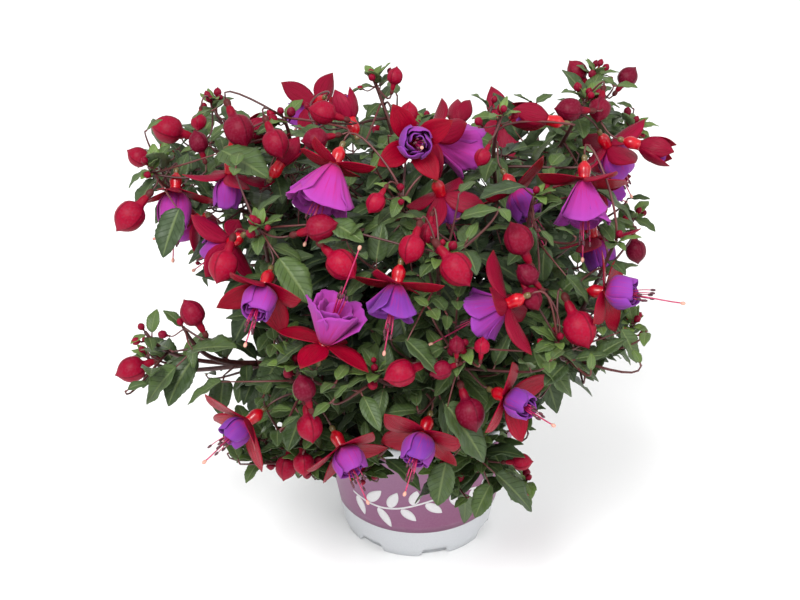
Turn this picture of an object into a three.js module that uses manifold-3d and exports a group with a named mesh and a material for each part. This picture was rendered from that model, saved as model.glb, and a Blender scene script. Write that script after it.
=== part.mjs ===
// A bushy fuchsia in full flower, growing in a small round white plastic pot.
// Millimetres, +Z up. The origin is on the pot's axis, on the surface that the pot stands on,
// and -Y is the front.

import * as THREE from "three";
import { mergeVertices } from "three/addons/utils/BufferGeometryUtils.js";
import Module from "manifold-3d";

const wasm = await Module();
wasm.setup();

// Driving dimensions

const GAP = 0.3;
const UP = new THREE.Vector3(0, 0, 1);
const CROWN = new THREE.Vector3(0, 0, 150);

const POT = {
  sides: 26,
  height: 88,
  rimRadius: 60,
  footRadius: 44,
  footWidth: 5,
  underside: 2.2,
  floor: 4,
  wall: 1.5,
  rimHeight: 7,
  rimLip: 1.2,
};
const NOTCH = { count: 7, width: 19, topWidth: 12, height: 4.5, depth: 3, turn: -77 };
const LABEL = { bottom: 21, top: 79, firstSide: -5, lastSide: 6, thickness: 0.5 };
const SOIL = { top: 75, crown: 3 };
const STEM = { ring: 15, foot: 10, clearance: 0.5, footRadius: 2.3, tipRadius: 0.9, sides: 4, steps: 6 };
const SIDE_SHOOT = { footRadius: 1.6, tipRadius: 0.9, sides: 3, steps: 3 };
const PEDICEL = { radius: 0.65, sides: 3, steps: 2, seat: 2, arches: [1, 0.4, -0.3, 1.8] };
const TUBE = [
  { z: -12.5, corner: 1.3, keel: 1.3 },
  { z: -5.5, corner: 2.9, keel: 3.3 },
  { z: -0.2, corner: 2.6, keel: 3.3 },
];
const SEPAL = {
  curlOpen: 12,
  curlClosed: -50,
  stations: [{ t: 0.34, half: 0.24, keel: 1.3 }, { t: 0.7, half: 0.2, keel: 1.2 }, { t: 1, half: 0 }],
};
const STYLE = { showing: 14, radius: 0.5, stigma: 0.8, droop: 0.1 };
const BLADE = { sunk: 1, thickness: 0.9, fold: 0.22, wave: 0.5, petiole: 0.6 };
const SMALL_LEAF = [[0.16, 0], [0.4, 1], [0.72, 0.72], [1, 0]];
const LARGE_LEAF = [[0, 0], [0.26, 0.85], [0.29, 0.76], [0.5, 1], [0.53, 0.86], [0.75, 0.6], [1, 0]];
const SHORTEST_LEAF = 15;
const LONGEST_LEAF = 30;
const LONGEST_STALK = 50;
const BUD = { fiveSided: 13, stalk: 0.6, neck: 0.16, swollen: 0.48 };
const BUD_REACH = { neck: -0.92, low: -0.3, high: 0.25, tip: 0.66 };
const TIP_BUD = { length: 8, width: 4.4 };
const COROLLA = { wall: 0.9, neck: 2.9 };
const SKIRT = { middle: 0.45, middleWidth: 0.62, endWidth: 1 };
const BARREL = { middle: 0.5, middleWidth: 1, endWidth: 0.8 };

// The main stems and their side shoots: where each one ends. A stem's turn is where its foot
// stands round the pot's axis, in degrees; from is how far up the stem a side shoot leaves it.

const BRANCHES = [
  {
    name: "branch_01", turn: 165, tip: [-114, 32, 256], pairs: 3,
    shoots: [
      { from: 0.55, tip: [-70, -24, 271], pairs: 2 },
      { from: 0.5, tip: [-140, -30, 246], pairs: 2 },
      { from: 0.6, tip: [-146, 48, 214], pairs: 2 },
    ],
  },
  {
    name: "branch_02", turn: 205, tip: [-140, -82, 178], pairs: 3,
    shoots: [
      { from: 0.6, tip: [-118, -97, 190], pairs: 2 },
      { from: 0.55, tip: [-148, -44, 140], pairs: 2 },
      { from: 0.4, tip: [-78, -92, 243], pairs: 3 },
    ],
  },
  {
    name: "branch_03", turn: 245, tip: [-84, -98, 112], pairs: 2,
    shoots: [
      { from: 0.45, tip: [-60, -124, 186], pairs: 2 },
      { from: 0.6, tip: [-60, -112, 120], pairs: 2 },
      { from: 0.5, tip: [-30, -106, 108], pairs: 2 },
    ],
  },
  {
    name: "branch_04", turn: 275, tip: [20, -132, 200], pairs: 3,
    shoots: [
      { from: 0.55, tip: [-22, -132, 186], pairs: 2 },
      { from: 0.45, tip: [8, -112, 238], pairs: 3 },
    ],
  },
  {
    name: "branch_05", turn: 310, tip: [56, -98, 96], pairs: 3,
    shoots: [
      { from: 0.5, tip: [26, -122, 142], pairs: 2 },
      { from: 0.6, tip: [12, -98, 104], pairs: 2 },
    ],
  },
  {
    name: "branch_06", turn: 345, tip: [106, -94, 190], pairs: 3,
    shoots: [
      { from: 0.6, tip: [66, -120, 196], pairs: 2 },
      { from: 0.5, tip: [96, -82, 231], pairs: 2 },
      { from: 0.4, tip: [55, -78, 253], pairs: 3 },
    ],
  },
  {
    name: "branch_07", turn: 20, tip: [100, 58, 264], pairs: 3,
    shoots: [
      { from: 0.55, tip: [120, 44, 236], pairs: 2 },
      { from: 0.35, tip: [40, -44, 281], pairs: 3 },
      { from: 0.5, tip: [126, 46, 178], pairs: 2 },
      { from: 0.6, tip: [88, 8, 268], pairs: 1 },
    ],
  },
  {
    name: "branch_08", turn: 90, tip: [-24, 4, 280], pairs: 3,
    shoots: [
      { from: 0.45, tip: [-10, -86, 259], pairs: 3 },
      { from: 0.5, tip: [40, 34, 252], pairs: 3 },
      { from: 0.5, tip: [-62, 62, 236], pairs: 1 },
    ],
  },
  {
    name: "branch_09", turn: 125, tip: [6, 124, 204], pairs: 2,
    shoots: [
      { from: 0.45, tip: [-88, 110, 188], pairs: 2 },
      { from: 0.4, tip: [92, 108, 200], pairs: 2 },
      { from: 0.45, tip: [-128, 82, 138], pairs: 1 },
      { from: 0.5, tip: [66, 128, 132], pairs: 1 },
      { from: 0.6, tip: [-40, 132, 130], pairs: 1 },
    ],
  },
];

// The open blooms: the throat where the sepals spread, the way the corolla faces, the sepals'
// length and how far they open from the axis in degrees, the corolla's length and rim radius,
// the turn of the sepals about the axis, the style's length where it is unusually long, and
// whether the petals stay rolled in a barrel.

const BLOOMS = [
  { throat: [-42, -78, 270], facing: [-0.36, -0.63, -0.69],
    sepal: 21, open: 94, corolla: 24, rim: 15, roll: 51 },
  { throat: [-4, -64, 275], facing: [0.14, -0.9, 0.42],
    sepal: 21, open: 62, corolla: 13, rim: 8, roll: 72, barrel: true },
  { throat: [6, -27, 261], facing: [0.85, 0.26, -0.46],
    sepal: 23, open: 73, corolla: 24, rim: 13, roll: 88 },
  { throat: [-127, -31, 233], facing: [-0.01, -0.7, -0.72],
    sepal: 22, open: 66, corolla: 20, rim: 8, roll: 51, barrel: true },
  { throat: [80, -68, 257], facing: [-0.03, -0.6, -0.8],
    sepal: 25, open: 86, corolla: 22, rim: 12.5, roll: 15 },
  { throat: [101, 5, 241], facing: [0.48, 0.13, -0.87],
    sepal: 24, open: 83, corolla: 18, rim: 9, roll: 33, barrel: true },
  { throat: [-95, -74, 225], facing: [-0.7, 0.35, -0.62],
    sepal: 22, open: 70, corolla: 15, rim: 8, roll: 30, barrel: true },
  { throat: [-75, -114, 223], facing: [-0.25, -0.87, -0.43],
    sepal: 25, open: 62, corolla: 16, rim: 8, roll: 66, barrel: true },
  { throat: [-46, -133, 203], facing: [0.3, 0.1, 0.95],
    sepal: 23, open: 96, corolla: 21, rim: 13, roll: 4, style: 56 },
  { throat: [-12, -124, 230], facing: [-0.19, -0.61, -0.77],
    sepal: 22, open: 88, corolla: 16, rim: 10, roll: 54 },
  { throat: [40, -124, 219], facing: [-0.88, 0.05, -0.48],
    sepal: 25, open: 90, corolla: 17, rim: 11, roll: 86, style: 40 },
  { throat: [90, -100, 212], facing: [0.91, -0.39, 0.16],
    sepal: 23, open: 83, corolla: 15, rim: 8, roll: 55, style: 38, barrel: true },
  { throat: [41, -136, 174], facing: [0.72, -0.69, 0.02],
    sepal: 24, open: 69, corolla: 14, rim: 7, roll: 55, barrel: true },
  { throat: [-86, -122, 150], facing: [-0.75, -0.55, -0.38],
    sepal: 26, open: 64, corolla: 13, rim: 7, roll: 63, barrel: true },
  { throat: [-39, -132, 142], facing: [0.45, -0.71, -0.54],
    sepal: 25, open: 69, corolla: 14, rim: 8, roll: 31, barrel: true },
  { throat: [1, -136, 153], facing: [-0.31, -0.78, -0.54],
    sepal: 26, open: 77, corolla: 15, rim: 8, roll: 75, barrel: true },
  { throat: [10, -67, 248], facing: [0.3, 0.15, -0.93],
    sepal: 21, open: 66, corolla: 14, rim: 7, roll: 5, barrel: true },
  { throat: [47, -55, 245], facing: [0.5, -0.54, -0.68],
    sepal: 23, open: 98, corolla: 16, rim: 8, roll: 29, barrel: true },
  { throat: [88, -58, 219], facing: [0.3, -0.32, -0.9],
    sepal: 23, open: 82, corolla: 15, rim: 8, roll: 15, barrel: true },
  { throat: [-60, 108, 222], facing: [-0.45, 0.6, -0.66],
    sepal: 23, open: 82, corolla: 19, rim: 11, roll: 5 },
  { throat: [52, 118, 205], facing: [0.2, 0.75, -0.63],
    sepal: 23, open: 82, corolla: 17, rim: 9, roll: 20, barrel: true },
  { throat: [108, 92, 176], facing: [0.7, 0.5, -0.52],
    sepal: 23, open: 82, corolla: 17, rim: 9, roll: 10 },
  { throat: [-132, 62, 168], facing: [-0.82, 0.32, -0.47],
    sepal: 23, open: 82, corolla: 18, rim: 10, roll: 75, barrel: true },
  { throat: [-6, 138, 156], facing: [-0.1, 0.8, -0.59],
    sepal: 23, open: 82, corolla: 16, rim: 8, roll: 0 },
];

// Blooms that are only opening, part of their branch: the same values without a corolla.

const OPENING_BLOOMS = [
  { throat: [64, -27, 271], facing: [-0.98, 0, 0.19], sepal: 20, open: 24 },
  { throat: [115, -17, 252], facing: [0.94, -0.28, -0.19], sepal: 19, open: 26 },
  { throat: [-92, -14, 255], facing: [0.78, 0.54, 0.32], sepal: 17, open: 30 },
  { throat: [-71, -38, 252], facing: [0.53, 0.59, 0.61], sepal: 17, open: 26 },
  { throat: [-36, -21, 269], facing: [-0.34, 0.64, 0.69], sepal: 17, open: 28 },
  { throat: [-97, -42, 247], facing: [-0.12, -0.3, -0.95], sepal: 23, open: 80 },
  { throat: [24, 118, 206], facing: [0.3, 0.85, 0.3], sepal: 18, open: 28 },
];

// The large buds: the middle of the swollen part, its width and the way its tip points, where
// that isn't simply out and down.

const BUDS = [
  { at: [-136, 17, 246], width: 15, tip: [-0.9, 0, 0.3] },
  { at: [-114, -26, 258], width: 10, tip: [-0.3, 0.3, 0.9] },
  { at: [-117, 2, 257], width: 8 },
  { at: [-92, -33, 268], width: 15, tip: [0.4, -0.6, -0.7] },
  { at: [-72, -51, 269], width: 13, tip: [0.4, -0.6, -0.7] },
  { at: [-156, 31, 223], width: 11, tip: [-0.8, 0.1, 0.5] },
  { at: [-140, -52, 226], width: 15, tip: [-0.65, -0.5, -0.6] },
  { at: [-47, -103, 248], width: 13, tip: [1, 0, 0.3] },
  { at: [-49, -34, 278], width: 12, tip: [-0.9, 0, 0.3] },
  { at: [-52, -55, 273], width: 11, tip: [-1, -0.2, -0.1] },
  { at: [-13, -6, 286], width: 8, tip: [0.2, 0.4, 0.9] },
  { at: [-6, -25, 274], width: 9, tip: [0.1, 0.4, 0.9] },
  { at: [-22, -97, 259], width: 9, tip: [-0.5, -0.5, -0.6] },
  { at: [-38, -116, 236], width: 14, tip: [0.7, -0.5, -0.5] },
  { at: [30, -63, 267], width: 8, tip: [-0.5, -0.6, -0.7] },
  { at: [89, 61, 262], width: 11, tip: [-0.6, 0.3, 0.7] },
  { at: [118, 64, 257], width: 11, tip: [0.6, 0.3, 0.7] },
  { at: [77, -14, 271], width: 12, tip: [-1, -0.1, 0.1] },
  { at: [94, -4, 267], width: 11, tip: [-0.2, -0.6, -0.8] },
  { at: [46, -104, 243], width: 14, tip: [-0.4, 0.3, 0.8] },
  { at: [-5, -114, 243], width: 12, tip: [-0.3, -0.6, -0.7] },
  { at: [3, -103, 246], width: 9, tip: [-0.2, -0.6, -0.8] },
  { at: [16, -124, 238], width: 15, tip: [0.6, -0.5, -0.6] },
  { at: [50, -115, 230], width: 10, tip: [-0.7, 0.2, 0.7] },
  { at: [52, -120, 220], width: 10, tip: [0.5, -0.6, -0.7] },
  { at: [76, -118, 202], width: 16, tip: [0.4, -0.6, -0.7] },
  { at: [-113, -97, 198], width: 12, tip: [-0.5, 0.3, 0.8] },
  { at: [-155, -52, 136], width: 14, tip: [-0.9, -0.3, -0.2] },
  { at: [16, -141, 207], width: 7, tip: [0, 0.4, 0.9] },
  { at: [28, -139, 205], width: 7, tip: [0.1, 0.4, 0.9] },
  { at: [-10, -145, 194], width: 13, tip: [-0.9, -0.3, -0.2] },
  { at: [9, -144, 195], width: 9, tip: [-0.9, -0.3, -0.2] },
  { at: [23, -145, 171], width: 14, tip: [0.3, -0.6, -0.7] },
  { at: [-56, -140, 182], width: 11, tip: [-0.3, 0.3, 0.9] },
  { at: [-54, -139, 159], width: 12, tip: [0.2, -0.6, -0.8] },
  { at: [-69, -109, 113], width: 11, tip: [-0.2, -0.6, -0.8] },
  { at: [-59, -121, 124], width: 10, tip: [0.1, -0.6, -0.8] },
  { at: [52, -110, 117], width: 9, tip: [1, -0.1, 0.1] },
  { at: [-96, -99, 226], width: 14, tip: [-0.3, -0.6, -0.7] },
  { at: [120, 96, 196], width: 13 },
  { at: [-100, 104, 166], width: 13 },
  { at: [-30, 132, 190], width: 14 },
  { at: [126, 34, 162], width: 12 },
];

// Leaves that stand out, from the stalk to the tip.

const LEAVES = [
  { from: [-123, -99, 168], to: [-144, -106, 148] },
  { from: [-114, -106, 182], to: [-87, -119, 197] },
  { from: [-98, -118, 172], to: [-120, -120, 160] },
  { from: [-137, -34, 241], to: [-152, -43, 223] },
  { from: [-112, -68, 238], to: [-123, -85, 216] },
  { from: [-100, -47, 263], to: [-71, -72, 262] },
  { from: [-44, -101, 251], to: [-22, -108, 247] },
  { from: [-68, -108, 235], to: [-54, -132, 222] },
  { from: [-8, -141, 210], to: [12, -149, 195] },
  { from: [50, -77, 258], to: [24, -92, 262] },
  { from: [99, 50, 243], to: [121, 50, 240] },
  { from: [88, -59, 247], to: [113, -62, 230] },
  { from: [98, -106, 194], to: [110, -112, 176] },
  { from: [53, -129, 197], to: [79, -135, 172] },
  { from: [66, -125, 193], to: [91, -128, 179] },
  { from: [11, -146, 177], to: [37, -155, 146] },
  { from: [13, -134, 130], to: [7, -145, 106] },
  { from: [38, -120, 117], to: [63, -127, 97] },
  { from: [-58, -130, 200], to: [-78, -132, 188] },
  { from: [69, -109, 226], to: [87, -112, 214] },
  { from: [36, -118, 109], to: [25, -126, 90] },
];

// How far such a leaf may swing, in the order that is tried.
const LEAF_SHIFTS = [0, -5, 5, -10, 10].flatMap((out) => [
  { out, down: 0, aside: 0 },
  { out, down: 5, aside: 0 },
  { out, down: 0, aside: 6 },
  { out, down: 0, aside: -6 },
  { out, down: 10, aside: 0 },
  { out, down: 6, aside: 8 },
  { out, down: 6, aside: -8 },
  { out, down: -6, aside: 0 },
  { out, down: -12, aside: 0 },
]);

// Small helpers

function vec(values) {
  return new THREE.Vector3(...values);
}

function degrees(angle) {
  return THREE.MathUtils.degToRad(angle);
}

function randomStream(seed) {
  let state = seed >>> 0;
  return () => {
    state = (state + 0x6d2b79f5) >>> 0;
    let mixed = Math.imul(state ^ (state >>> 15), state | 1);
    mixed ^= mixed + Math.imul(mixed ^ (mixed >>> 7), mixed | 61);
    return ((mixed ^ (mixed >>> 14)) >>> 0) / 4294967296;
  };
}

// Two directions square to the one given: side is level where it can be, top is the upper one.
function squareTo(along) {
  const side = new THREE.Vector3().crossVectors(UP, along);
  if (side.length() < 0.05) side.set(1, 0, 0);
  side.addScaledVector(along, -side.dot(along)).normalize();
  const top = new THREE.Vector3().crossVectors(along, side).normalize();
  return { side, top };
}

function spot(origin, ...steps) {
  const place = origin.clone();
  for (const [direction, distance] of steps) place.addScaledVector(direction, distance);
  return place;
}

// Geometry becomes a solid for joining and cutting, and back

function solidOf(geometry) {
  const bare = geometry.clone();
  bare.deleteAttribute("normal");
  bare.deleteAttribute("uv");
  const merged = mergeVertices(bare, 1e-4);
  const vertProperties = new Float32Array(merged.attributes.position.array);
  const triVerts = new Uint32Array(merged.index.array);
  return new wasm.Manifold(new wasm.Mesh({ numProp: 3, vertProperties, triVerts }));
}

function geometryOf(solid) {
  const { vertProperties, triVerts, numProp } = solid.getMesh();
  const geometry = new THREE.BufferGeometry();
  const position = new THREE.BufferAttribute(new Float32Array(vertProperties), numProp);
  geometry.setAttribute("position", position);
  geometry.setIndex(new THREE.BufferAttribute(new Uint32Array(triVerts), 1));
  geometry.computeVertexNormals();
  return geometry;
}

// A closed body through rings of points. Each ring runs the same way round the line of travel,
// and a ring of one point closes an end to a tip.
function loft(rings, { closeStart = true, closeEnd = true } = {}) {
  const positions = [];
  const starts = [];
  const triangles = [];
  for (const ring of rings) {
    starts.push(positions.length / 3);
    for (const point of ring) positions.push(point.x, point.y, point.z);
  }
  for (let i = 1; i < rings.length; i += 1) {
    const sides = Math.max(rings[i - 1].length, rings[i].length);
    for (let j = 0; j < sides; j += 1) {
      const next = (j + 1) % sides;
      const [a, b] = rings[i - 1].length > 1 ? [starts[i - 1] + j, starts[i - 1] + next] : [starts[i - 1]];
      const [d, c] = rings[i].length > 1 ? [starts[i] + j, starts[i] + next] : [starts[i]];
      if (b !== undefined && c !== undefined) triangles.push(a, b, c, a, c, d);
      else if (b !== undefined) triangles.push(a, b, d);
      else triangles.push(a, c, d);
    }
  }
  const last = rings.length - 1;
  for (let j = 1; closeStart && j + 1 < rings[0].length; j += 1) triangles.push(0, j + 1, j);
  for (let j = 1; closeEnd && j + 1 < rings[last].length; j += 1) {
    triangles.push(starts[last], starts[last] + j, starts[last] + j + 1);
  }
  const geometry = new THREE.BufferGeometry();
  geometry.setAttribute("position", new THREE.Float32BufferAttribute(positions, 3));
  geometry.setIndex(triangles);
  return geometry;
}

// Skins that share their edges become one.
function weld(geometries) {
  const positions = [];
  const triangles = [];
  for (const geometry of geometries) {
    const offset = positions.length / 3;
    positions.push(...geometry.attributes.position.array);
    for (const index of geometry.index.array) triangles.push(index + offset);
  }
  const all = new THREE.BufferGeometry();
  all.setAttribute("position", new THREE.Float32BufferAttribute(positions, 3));
  all.setIndex(triangles);
  return all;
}

// A round strand through points, with a radius at each; a radius of 0 is a pointed end.
function strand(points, radii, sides) {
  let side = null;
  const rings = points.map((point, i) => {
    const before = points[Math.max(i - 1, 0)];
    const after = points[Math.min(i + 1, points.length - 1)];
    const along = new THREE.Vector3().subVectors(after, before).normalize();
    if (side === null) side = squareTo(along).side;
    side = side.clone().addScaledVector(along, -side.dot(along)).normalize();
    if (radii[i] === 0) return [point];
    const top = new THREE.Vector3().crossVectors(along, side);
    return Array.from({ length: sides }, (_, j) => {
      const turn = (2 * Math.PI * j) / sides;
      return spot(point, [side, radii[i] * Math.cos(turn)], [top, radii[i] * Math.sin(turn)]);
    });
  });
  return loft(rings);
}

// Pot

function potRadius(z) {
  return THREE.MathUtils.mapLinear(z, 0, POT.height, POT.footRadius, POT.rimRadius);
}

// One of the shallow arches in the outside of the foot.
function notchGeometry() {
  const arch = new THREE.Shape();
  arch.moveTo(-NOTCH.width / 2, -1);
  arch.lineTo(NOTCH.width / 2, -1);
  arch.lineTo(NOTCH.topWidth / 2, NOTCH.height);
  arch.lineTo(-NOTCH.topWidth / 2, NOTCH.height);
  const notch = new THREE.ExtrudeGeometry(arch, { depth: 3 * NOTCH.depth, bevelEnabled: false });
  notch.rotateX(Math.PI / 2);
  notch.rotateZ(Math.PI / 2);
  notch.translate(POT.footRadius - NOTCH.depth, 0, 0);
  return notch;
}

function potGeometry() {
  const rimBottom = POT.height - POT.rimHeight;
  const outline = [
    [0, POT.underside],
    [POT.footRadius - POT.footWidth, POT.underside],
    [POT.footRadius - POT.footWidth, 0],
    [POT.footRadius, 0],
    [potRadius(rimBottom), rimBottom],
    [potRadius(rimBottom) + POT.rimLip, rimBottom],
    [POT.rimRadius + POT.rimLip, POT.height],
    [POT.rimRadius - POT.wall, POT.height],
    [potRadius(POT.floor) - POT.wall, POT.floor],
    [0, POT.floor],
  ];
  const body = new THREE.LatheGeometry(outline.map((p) => new THREE.Vector2(...p)), POT.sides);
  body.rotateX(Math.PI / 2);
  let solid = solidOf(body);
  for (let i = 0; i < NOTCH.count; i += 1) {
    const notch = notchGeometry();
    notch.rotateZ(degrees(NOTCH.turn + (360 * i) / NOTCH.count));
    solid = solid.subtract(solidOf(notch));
  }
  return geometryOf(solid);
}

// A sleeve round the front of the pot, following the sides of the pot.
function labelGeometry() {
  const rings = [];
  for (let i = LABEL.firstSide; i <= LABEL.lastSide; i += 1) {
    const turn = -Math.PI / 2 + (2 * Math.PI * i) / POT.sides;
    const corner = (z, out) => {
      const radius = potRadius(z) + GAP + out;
      return new THREE.Vector3(radius * Math.cos(turn), radius * Math.sin(turn), z);
    };
    rings.push([
      corner(LABEL.bottom, 0),
      corner(LABEL.top, 0),
      corner(LABEL.top, LABEL.thickness),
      corner(LABEL.bottom, LABEL.thickness),
    ]);
  }
  return loft(rings);
}

// Stems stand in plain holes in the soil.
function soilGeometry(holes) {
  const inside = (z) => potRadius(z) - POT.wall - GAP;
  const bottom = POT.floor + GAP;
  const outline = [
    [0, bottom],
    [inside(bottom) - GAP, bottom],
    [inside(SOIL.top), SOIL.top],
    [0, SOIL.top + SOIL.crown],
  ];
  const body = new THREE.LatheGeometry(outline.map((p) => new THREE.Vector2(...p)), POT.sides);
  body.rotateX(Math.PI / 2);
  return geometryOf(holes.reduce((solid, hole) => solid.subtract(hole), solidOf(body)));
}

// Blooms

// Ovary, tube and four sepals in one closed skin. The end of the tube has eight corners: four
// between the sepals, round the throat, and four on the keels of the sepals.
function perianthGeometry({ throat, facing, sepal, open, roll = 0 }) {
  const origin = vec(throat);
  const along = vec(facing).normalize();
  const { side, top } = squareTo(along);
  const outward = (turn) => spot(new THREE.Vector3(), [side, Math.cos(turn)], [top, Math.sin(turn)]);
  const turns = Array.from({ length: 8 }, (_, j) => degrees(roll + 45 * j));
  const rings = TUBE.map(({ z, corner, keel }) => turns.map((turn, j) => {
    return spot(origin, [along, z], [outward(turn), j % 2 ? keel : corner]);
  }));
  const corners = rings[rings.length - 1];
  const throatFace = loft([corners.filter((_, j) => j % 2 === 0)], { closeStart: false });
  const parts = [loft(rings, { closeEnd: false }), throatFace];
  for (let k = 0; k < 4; k += 1) {
    const root = [corners[2 * k], corners[2 * k + 1], corners[(2 * k + 2) % 8]];
    parts.push(sepalGeometry(root, along, outward(turns[2 * k + 1]), sepal, open));
  }
  return weld(parts);
}

// One sepal from its root of three corners: flat inside, keeled outside, opening by the angle
// given and then curling back, or in while the bloom is still closed.
function sepalGeometry(root, along, out, length, open) {
  const across = new THREE.Vector3().crossVectors(along, out);
  const curl = degrees(open > 50 ? SEPAL.curlOpen : SEPAL.curlClosed);
  let place = root[0].clone().lerp(root[2], 0.5);
  const rings = SEPAL.stations.map(({ t, half, keel }, i) => {
    const angle = degrees(open) + curl * (t - 0.4);
    const forward = spot(new THREE.Vector3(), [out, Math.sin(angle)], [along, Math.cos(angle)]);
    const outer = spot(new THREE.Vector3(), [out, Math.cos(angle)], [along, -Math.sin(angle)]);
    const before = i ? SEPAL.stations[i - 1].t : 0;
    place = spot(place, [forward, length * (t - before)]);
    if (half === 0) return [place];
    const reach = half * length;
    return [spot(place, [across, -reach]), spot(place, [outer, keel]), spot(place, [across, reach])];
  });
  return loft([root, ...rings], { closeStart: false });
}

// The style stands in the closed neck of the corolla.
function styleGeometry({ throat, facing, corolla, style = corolla + STYLE.showing }) {
  const along = vec(facing).normalize();
  const start = spot(vec(throat), [along, 2 * GAP]);
  const end = spot(vec(throat), [along, style], [UP, -STYLE.droop * style]);
  return strand([start, end], [STYLE.radius, STYLE.stigma], 3);
}

// Four overlapping petals in one bell: each petal's leading edge stands out over the one before.
// It is hollow to a point near its neck. A barrel is widest half way, a skirt at its rim.
function corollaGeometry({ throat, facing, corolla, rim, roll, barrel = false }) {
  const form = barrel ? BARREL : SKIRT;
  const origin = vec(throat);
  const along = vec(facing).normalize();
  const { side, top } = squareTo(along);
  const columns = [0, 1, 2, 3].flatMap((k) => [
    { turn: degrees(roll + 30 + 90 * k), lift: 1, reach: 0.86 },
    { turn: degrees(roll + 30 + 90 * (k + 0.46)), lift: 0.1, reach: 1 },
    { turn: degrees(roll + 30 + 90 * (k + 0.9)), lift: -1, reach: 0.88 },
  ]);
  const ring = (distance, radius, spread) => columns.map(({ turn, lift, reach }) => {
    const out = spot(new THREE.Vector3(), [side, Math.cos(turn)], [top, Math.sin(turn)]);
    return spot(origin, [along, distance * (spread ? reach : 1)], [out, radius + spread * lift]);
  });
  return loft([
    ring(GAP, COROLLA.neck, 0),
    ring(form.middle * corolla, form.middleWidth * rim, 0.5),
    ring(corolla, form.endWidth * rim, 0.9),
    ring(corolla, form.endWidth * rim - COROLLA.wall, 0.9),
    [spot(origin, [along, 0.12 * corolla])],
  ]);
}

// Leaves, stems and buds

// A leaf from its stalk to its tip, raised along both edges, keeled below and arching down. A
// large one has its edges cut into coarse teeth, and a root where its stalk leaves the shoot.
function leafGeometry({ root, base, along, length, width, bend }) {
  const stations = root ? LARGE_LEAF : SMALL_LEAF;
  const { side, top } = squareTo(along);
  const rings = stations.map(([t, wide], i) => {
    const angle = bend * t;
    const ahead = bend ? Math.sin(angle) / bend : t;
    const drop = bend ? (1 - Math.cos(angle)) / bend : 0;
    const middle = spot(base, [along, length * ahead], [top, -length * drop]);
    if (t === 1) return [middle];
    const normal = spot(new THREE.Vector3(), [top, Math.cos(angle)], [along, Math.sin(angle)]);
    const half = Math.max((width / 2) * wide, BLADE.petiole);
    const wave = wide ? BLADE.wave * (i % 2 ? 1 : -1) : 0;
    const raise = BLADE.fold * half;
    return [
      spot(middle, [side, half], [normal, raise + wave]),
      spot(middle, [side, -half], [normal, raise - wave]),
      spot(middle, [normal, -BLADE.thickness]),
    ];
  });
  return loft([[root ?? spot(base, [along, -BLADE.sunk])], ...rings]);
}

// A bud on its stalk, swelling from its neck and closing to a blunt point.
function budGeometry({ start, at, tip, width }) {
  const sides = width > BUD.fiveSided ? 5 : 4;
  const body = Object.values(BUD_REACH).map((reach) => spot(at, [tip, reach * width]));
  const middle = start.clone().lerp(body[0], 0.5);
  middle.addScaledVector(tip, -0.25 * start.distanceTo(body[0]));
  const swollen = BUD.swollen * width;
  const radii = [BUD.stalk, BUD.stalk, BUD.neck * width, swollen, swollen, 0];
  return strand([start, middle, ...body], radii, sides);
}

// A pedicel from a point on a shoot to the flat end of a bloom's ovary, which it nearly touches.
function pedicelPoints(start, end, facing, arch) {
  const reach = start.distanceTo(end);
  const rise = spot(start, [UP, 0.35 * reach * arch], [facing, 0.1 * reach]);
  const near = spot(end, [facing, -0.35 * reach]);
  const seat = spot(end, [facing, -PEDICEL.seat]);
  return [...new THREE.CubicBezierCurve3(start, rise, near, seat).getPoints(PEDICEL.steps), end];
}

// Pieces that are already placed, with the node that each belongs to

const placed = [];

function place(owner, solid, isStem = false) {
  placed.push({ owner, solid, isStem, box: solid.boundingBox() });
}

function isClear(owner, solid, alsoOwn = false) {
  const box = solid.boundingBox();
  return placed.every((other) => {
    if (other.owner === owner && (other.isStem || !alsoOwn)) return true;
    for (let i = 0; i < 3; i += 1) {
      if (box.min[i] > other.box.max[i] + GAP || box.max[i] < other.box.min[i] - GAP) return true;
    }
    return solid.minGap(other.solid, GAP) >= 0.9 * GAP;
  });
}

// The first of several variants that crosses no other node is placed, if there is one.
function placeFirstClear(variants, alsoOwn = false) {
  for (const { owner, parts } of variants) {
    const solids = parts.map(solidOf);
    if (!solids.every((solid) => isClear(owner, solid, alsoOwn))) continue;
    solids.forEach((solid) => place(owner, solid));
    return true;
  }
  return false;
}

function placeOne(variants, what) {
  if (!placeFirstClear(variants)) throw new Error(`no clear place for ${what}`);
}

// Materials

function material(color, roughness) {
  return new THREE.MeshStandardMaterial({ color, roughness, metalness: 0 });
}

const materials = {
  pot: material(0xf1f2f3, 0.45),
  label: material(0x8f5a82, 0.4),
  soil: material(0x3a2a20, 0.95),
  branch: material(0x3f5a3a, 0.6),
  sepals: material(0xc01530, 0.4),
  corolla: material(0x8038a8, 0.5),
};

// Building the plant

const plant = new THREE.Group();

function addMesh(name, geometry, look) {
  const mesh = new THREE.Mesh(geometry, look);
  mesh.name = name;
  plant.add(mesh);
}

function numbered(index) {
  return String(index + 1).padStart(2, "0");
}

// The blooms come first, turned or moved back a little where two would cross.
const blooms = BLOOMS.map((bloom, i) => {
  const name = `bloom_${numbered(i)}`;
  const [x, y, z] = bloom.throat;
  for (let k = 0; k < 24; k += 1) {
    const back = 4 * Math.floor(k / 6) * Math.sign(y);
    const moved = { ...bloom, roll: bloom.roll + 15 * (k % 6), throat: [x, y - back, z] };
    const sepals = solidOf(perianthGeometry(moved));
    const corolla = solidOf(corollaGeometry(moved)).add(solidOf(styleGeometry(moved)));
    if (!isClear(name, sepals) || !isClear(name, corolla)) continue;
    place(name, sepals);
    place(name, corolla);
    addMesh(`${name}_sepals`, geometryOf(sepals), materials.sepals);
    addMesh(`${name}_corolla`, geometryOf(corolla), materials.corolla);
    return moved;
  }
  throw new Error(`${name} crosses another bloom`);
});

// Stems and shoots

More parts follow.
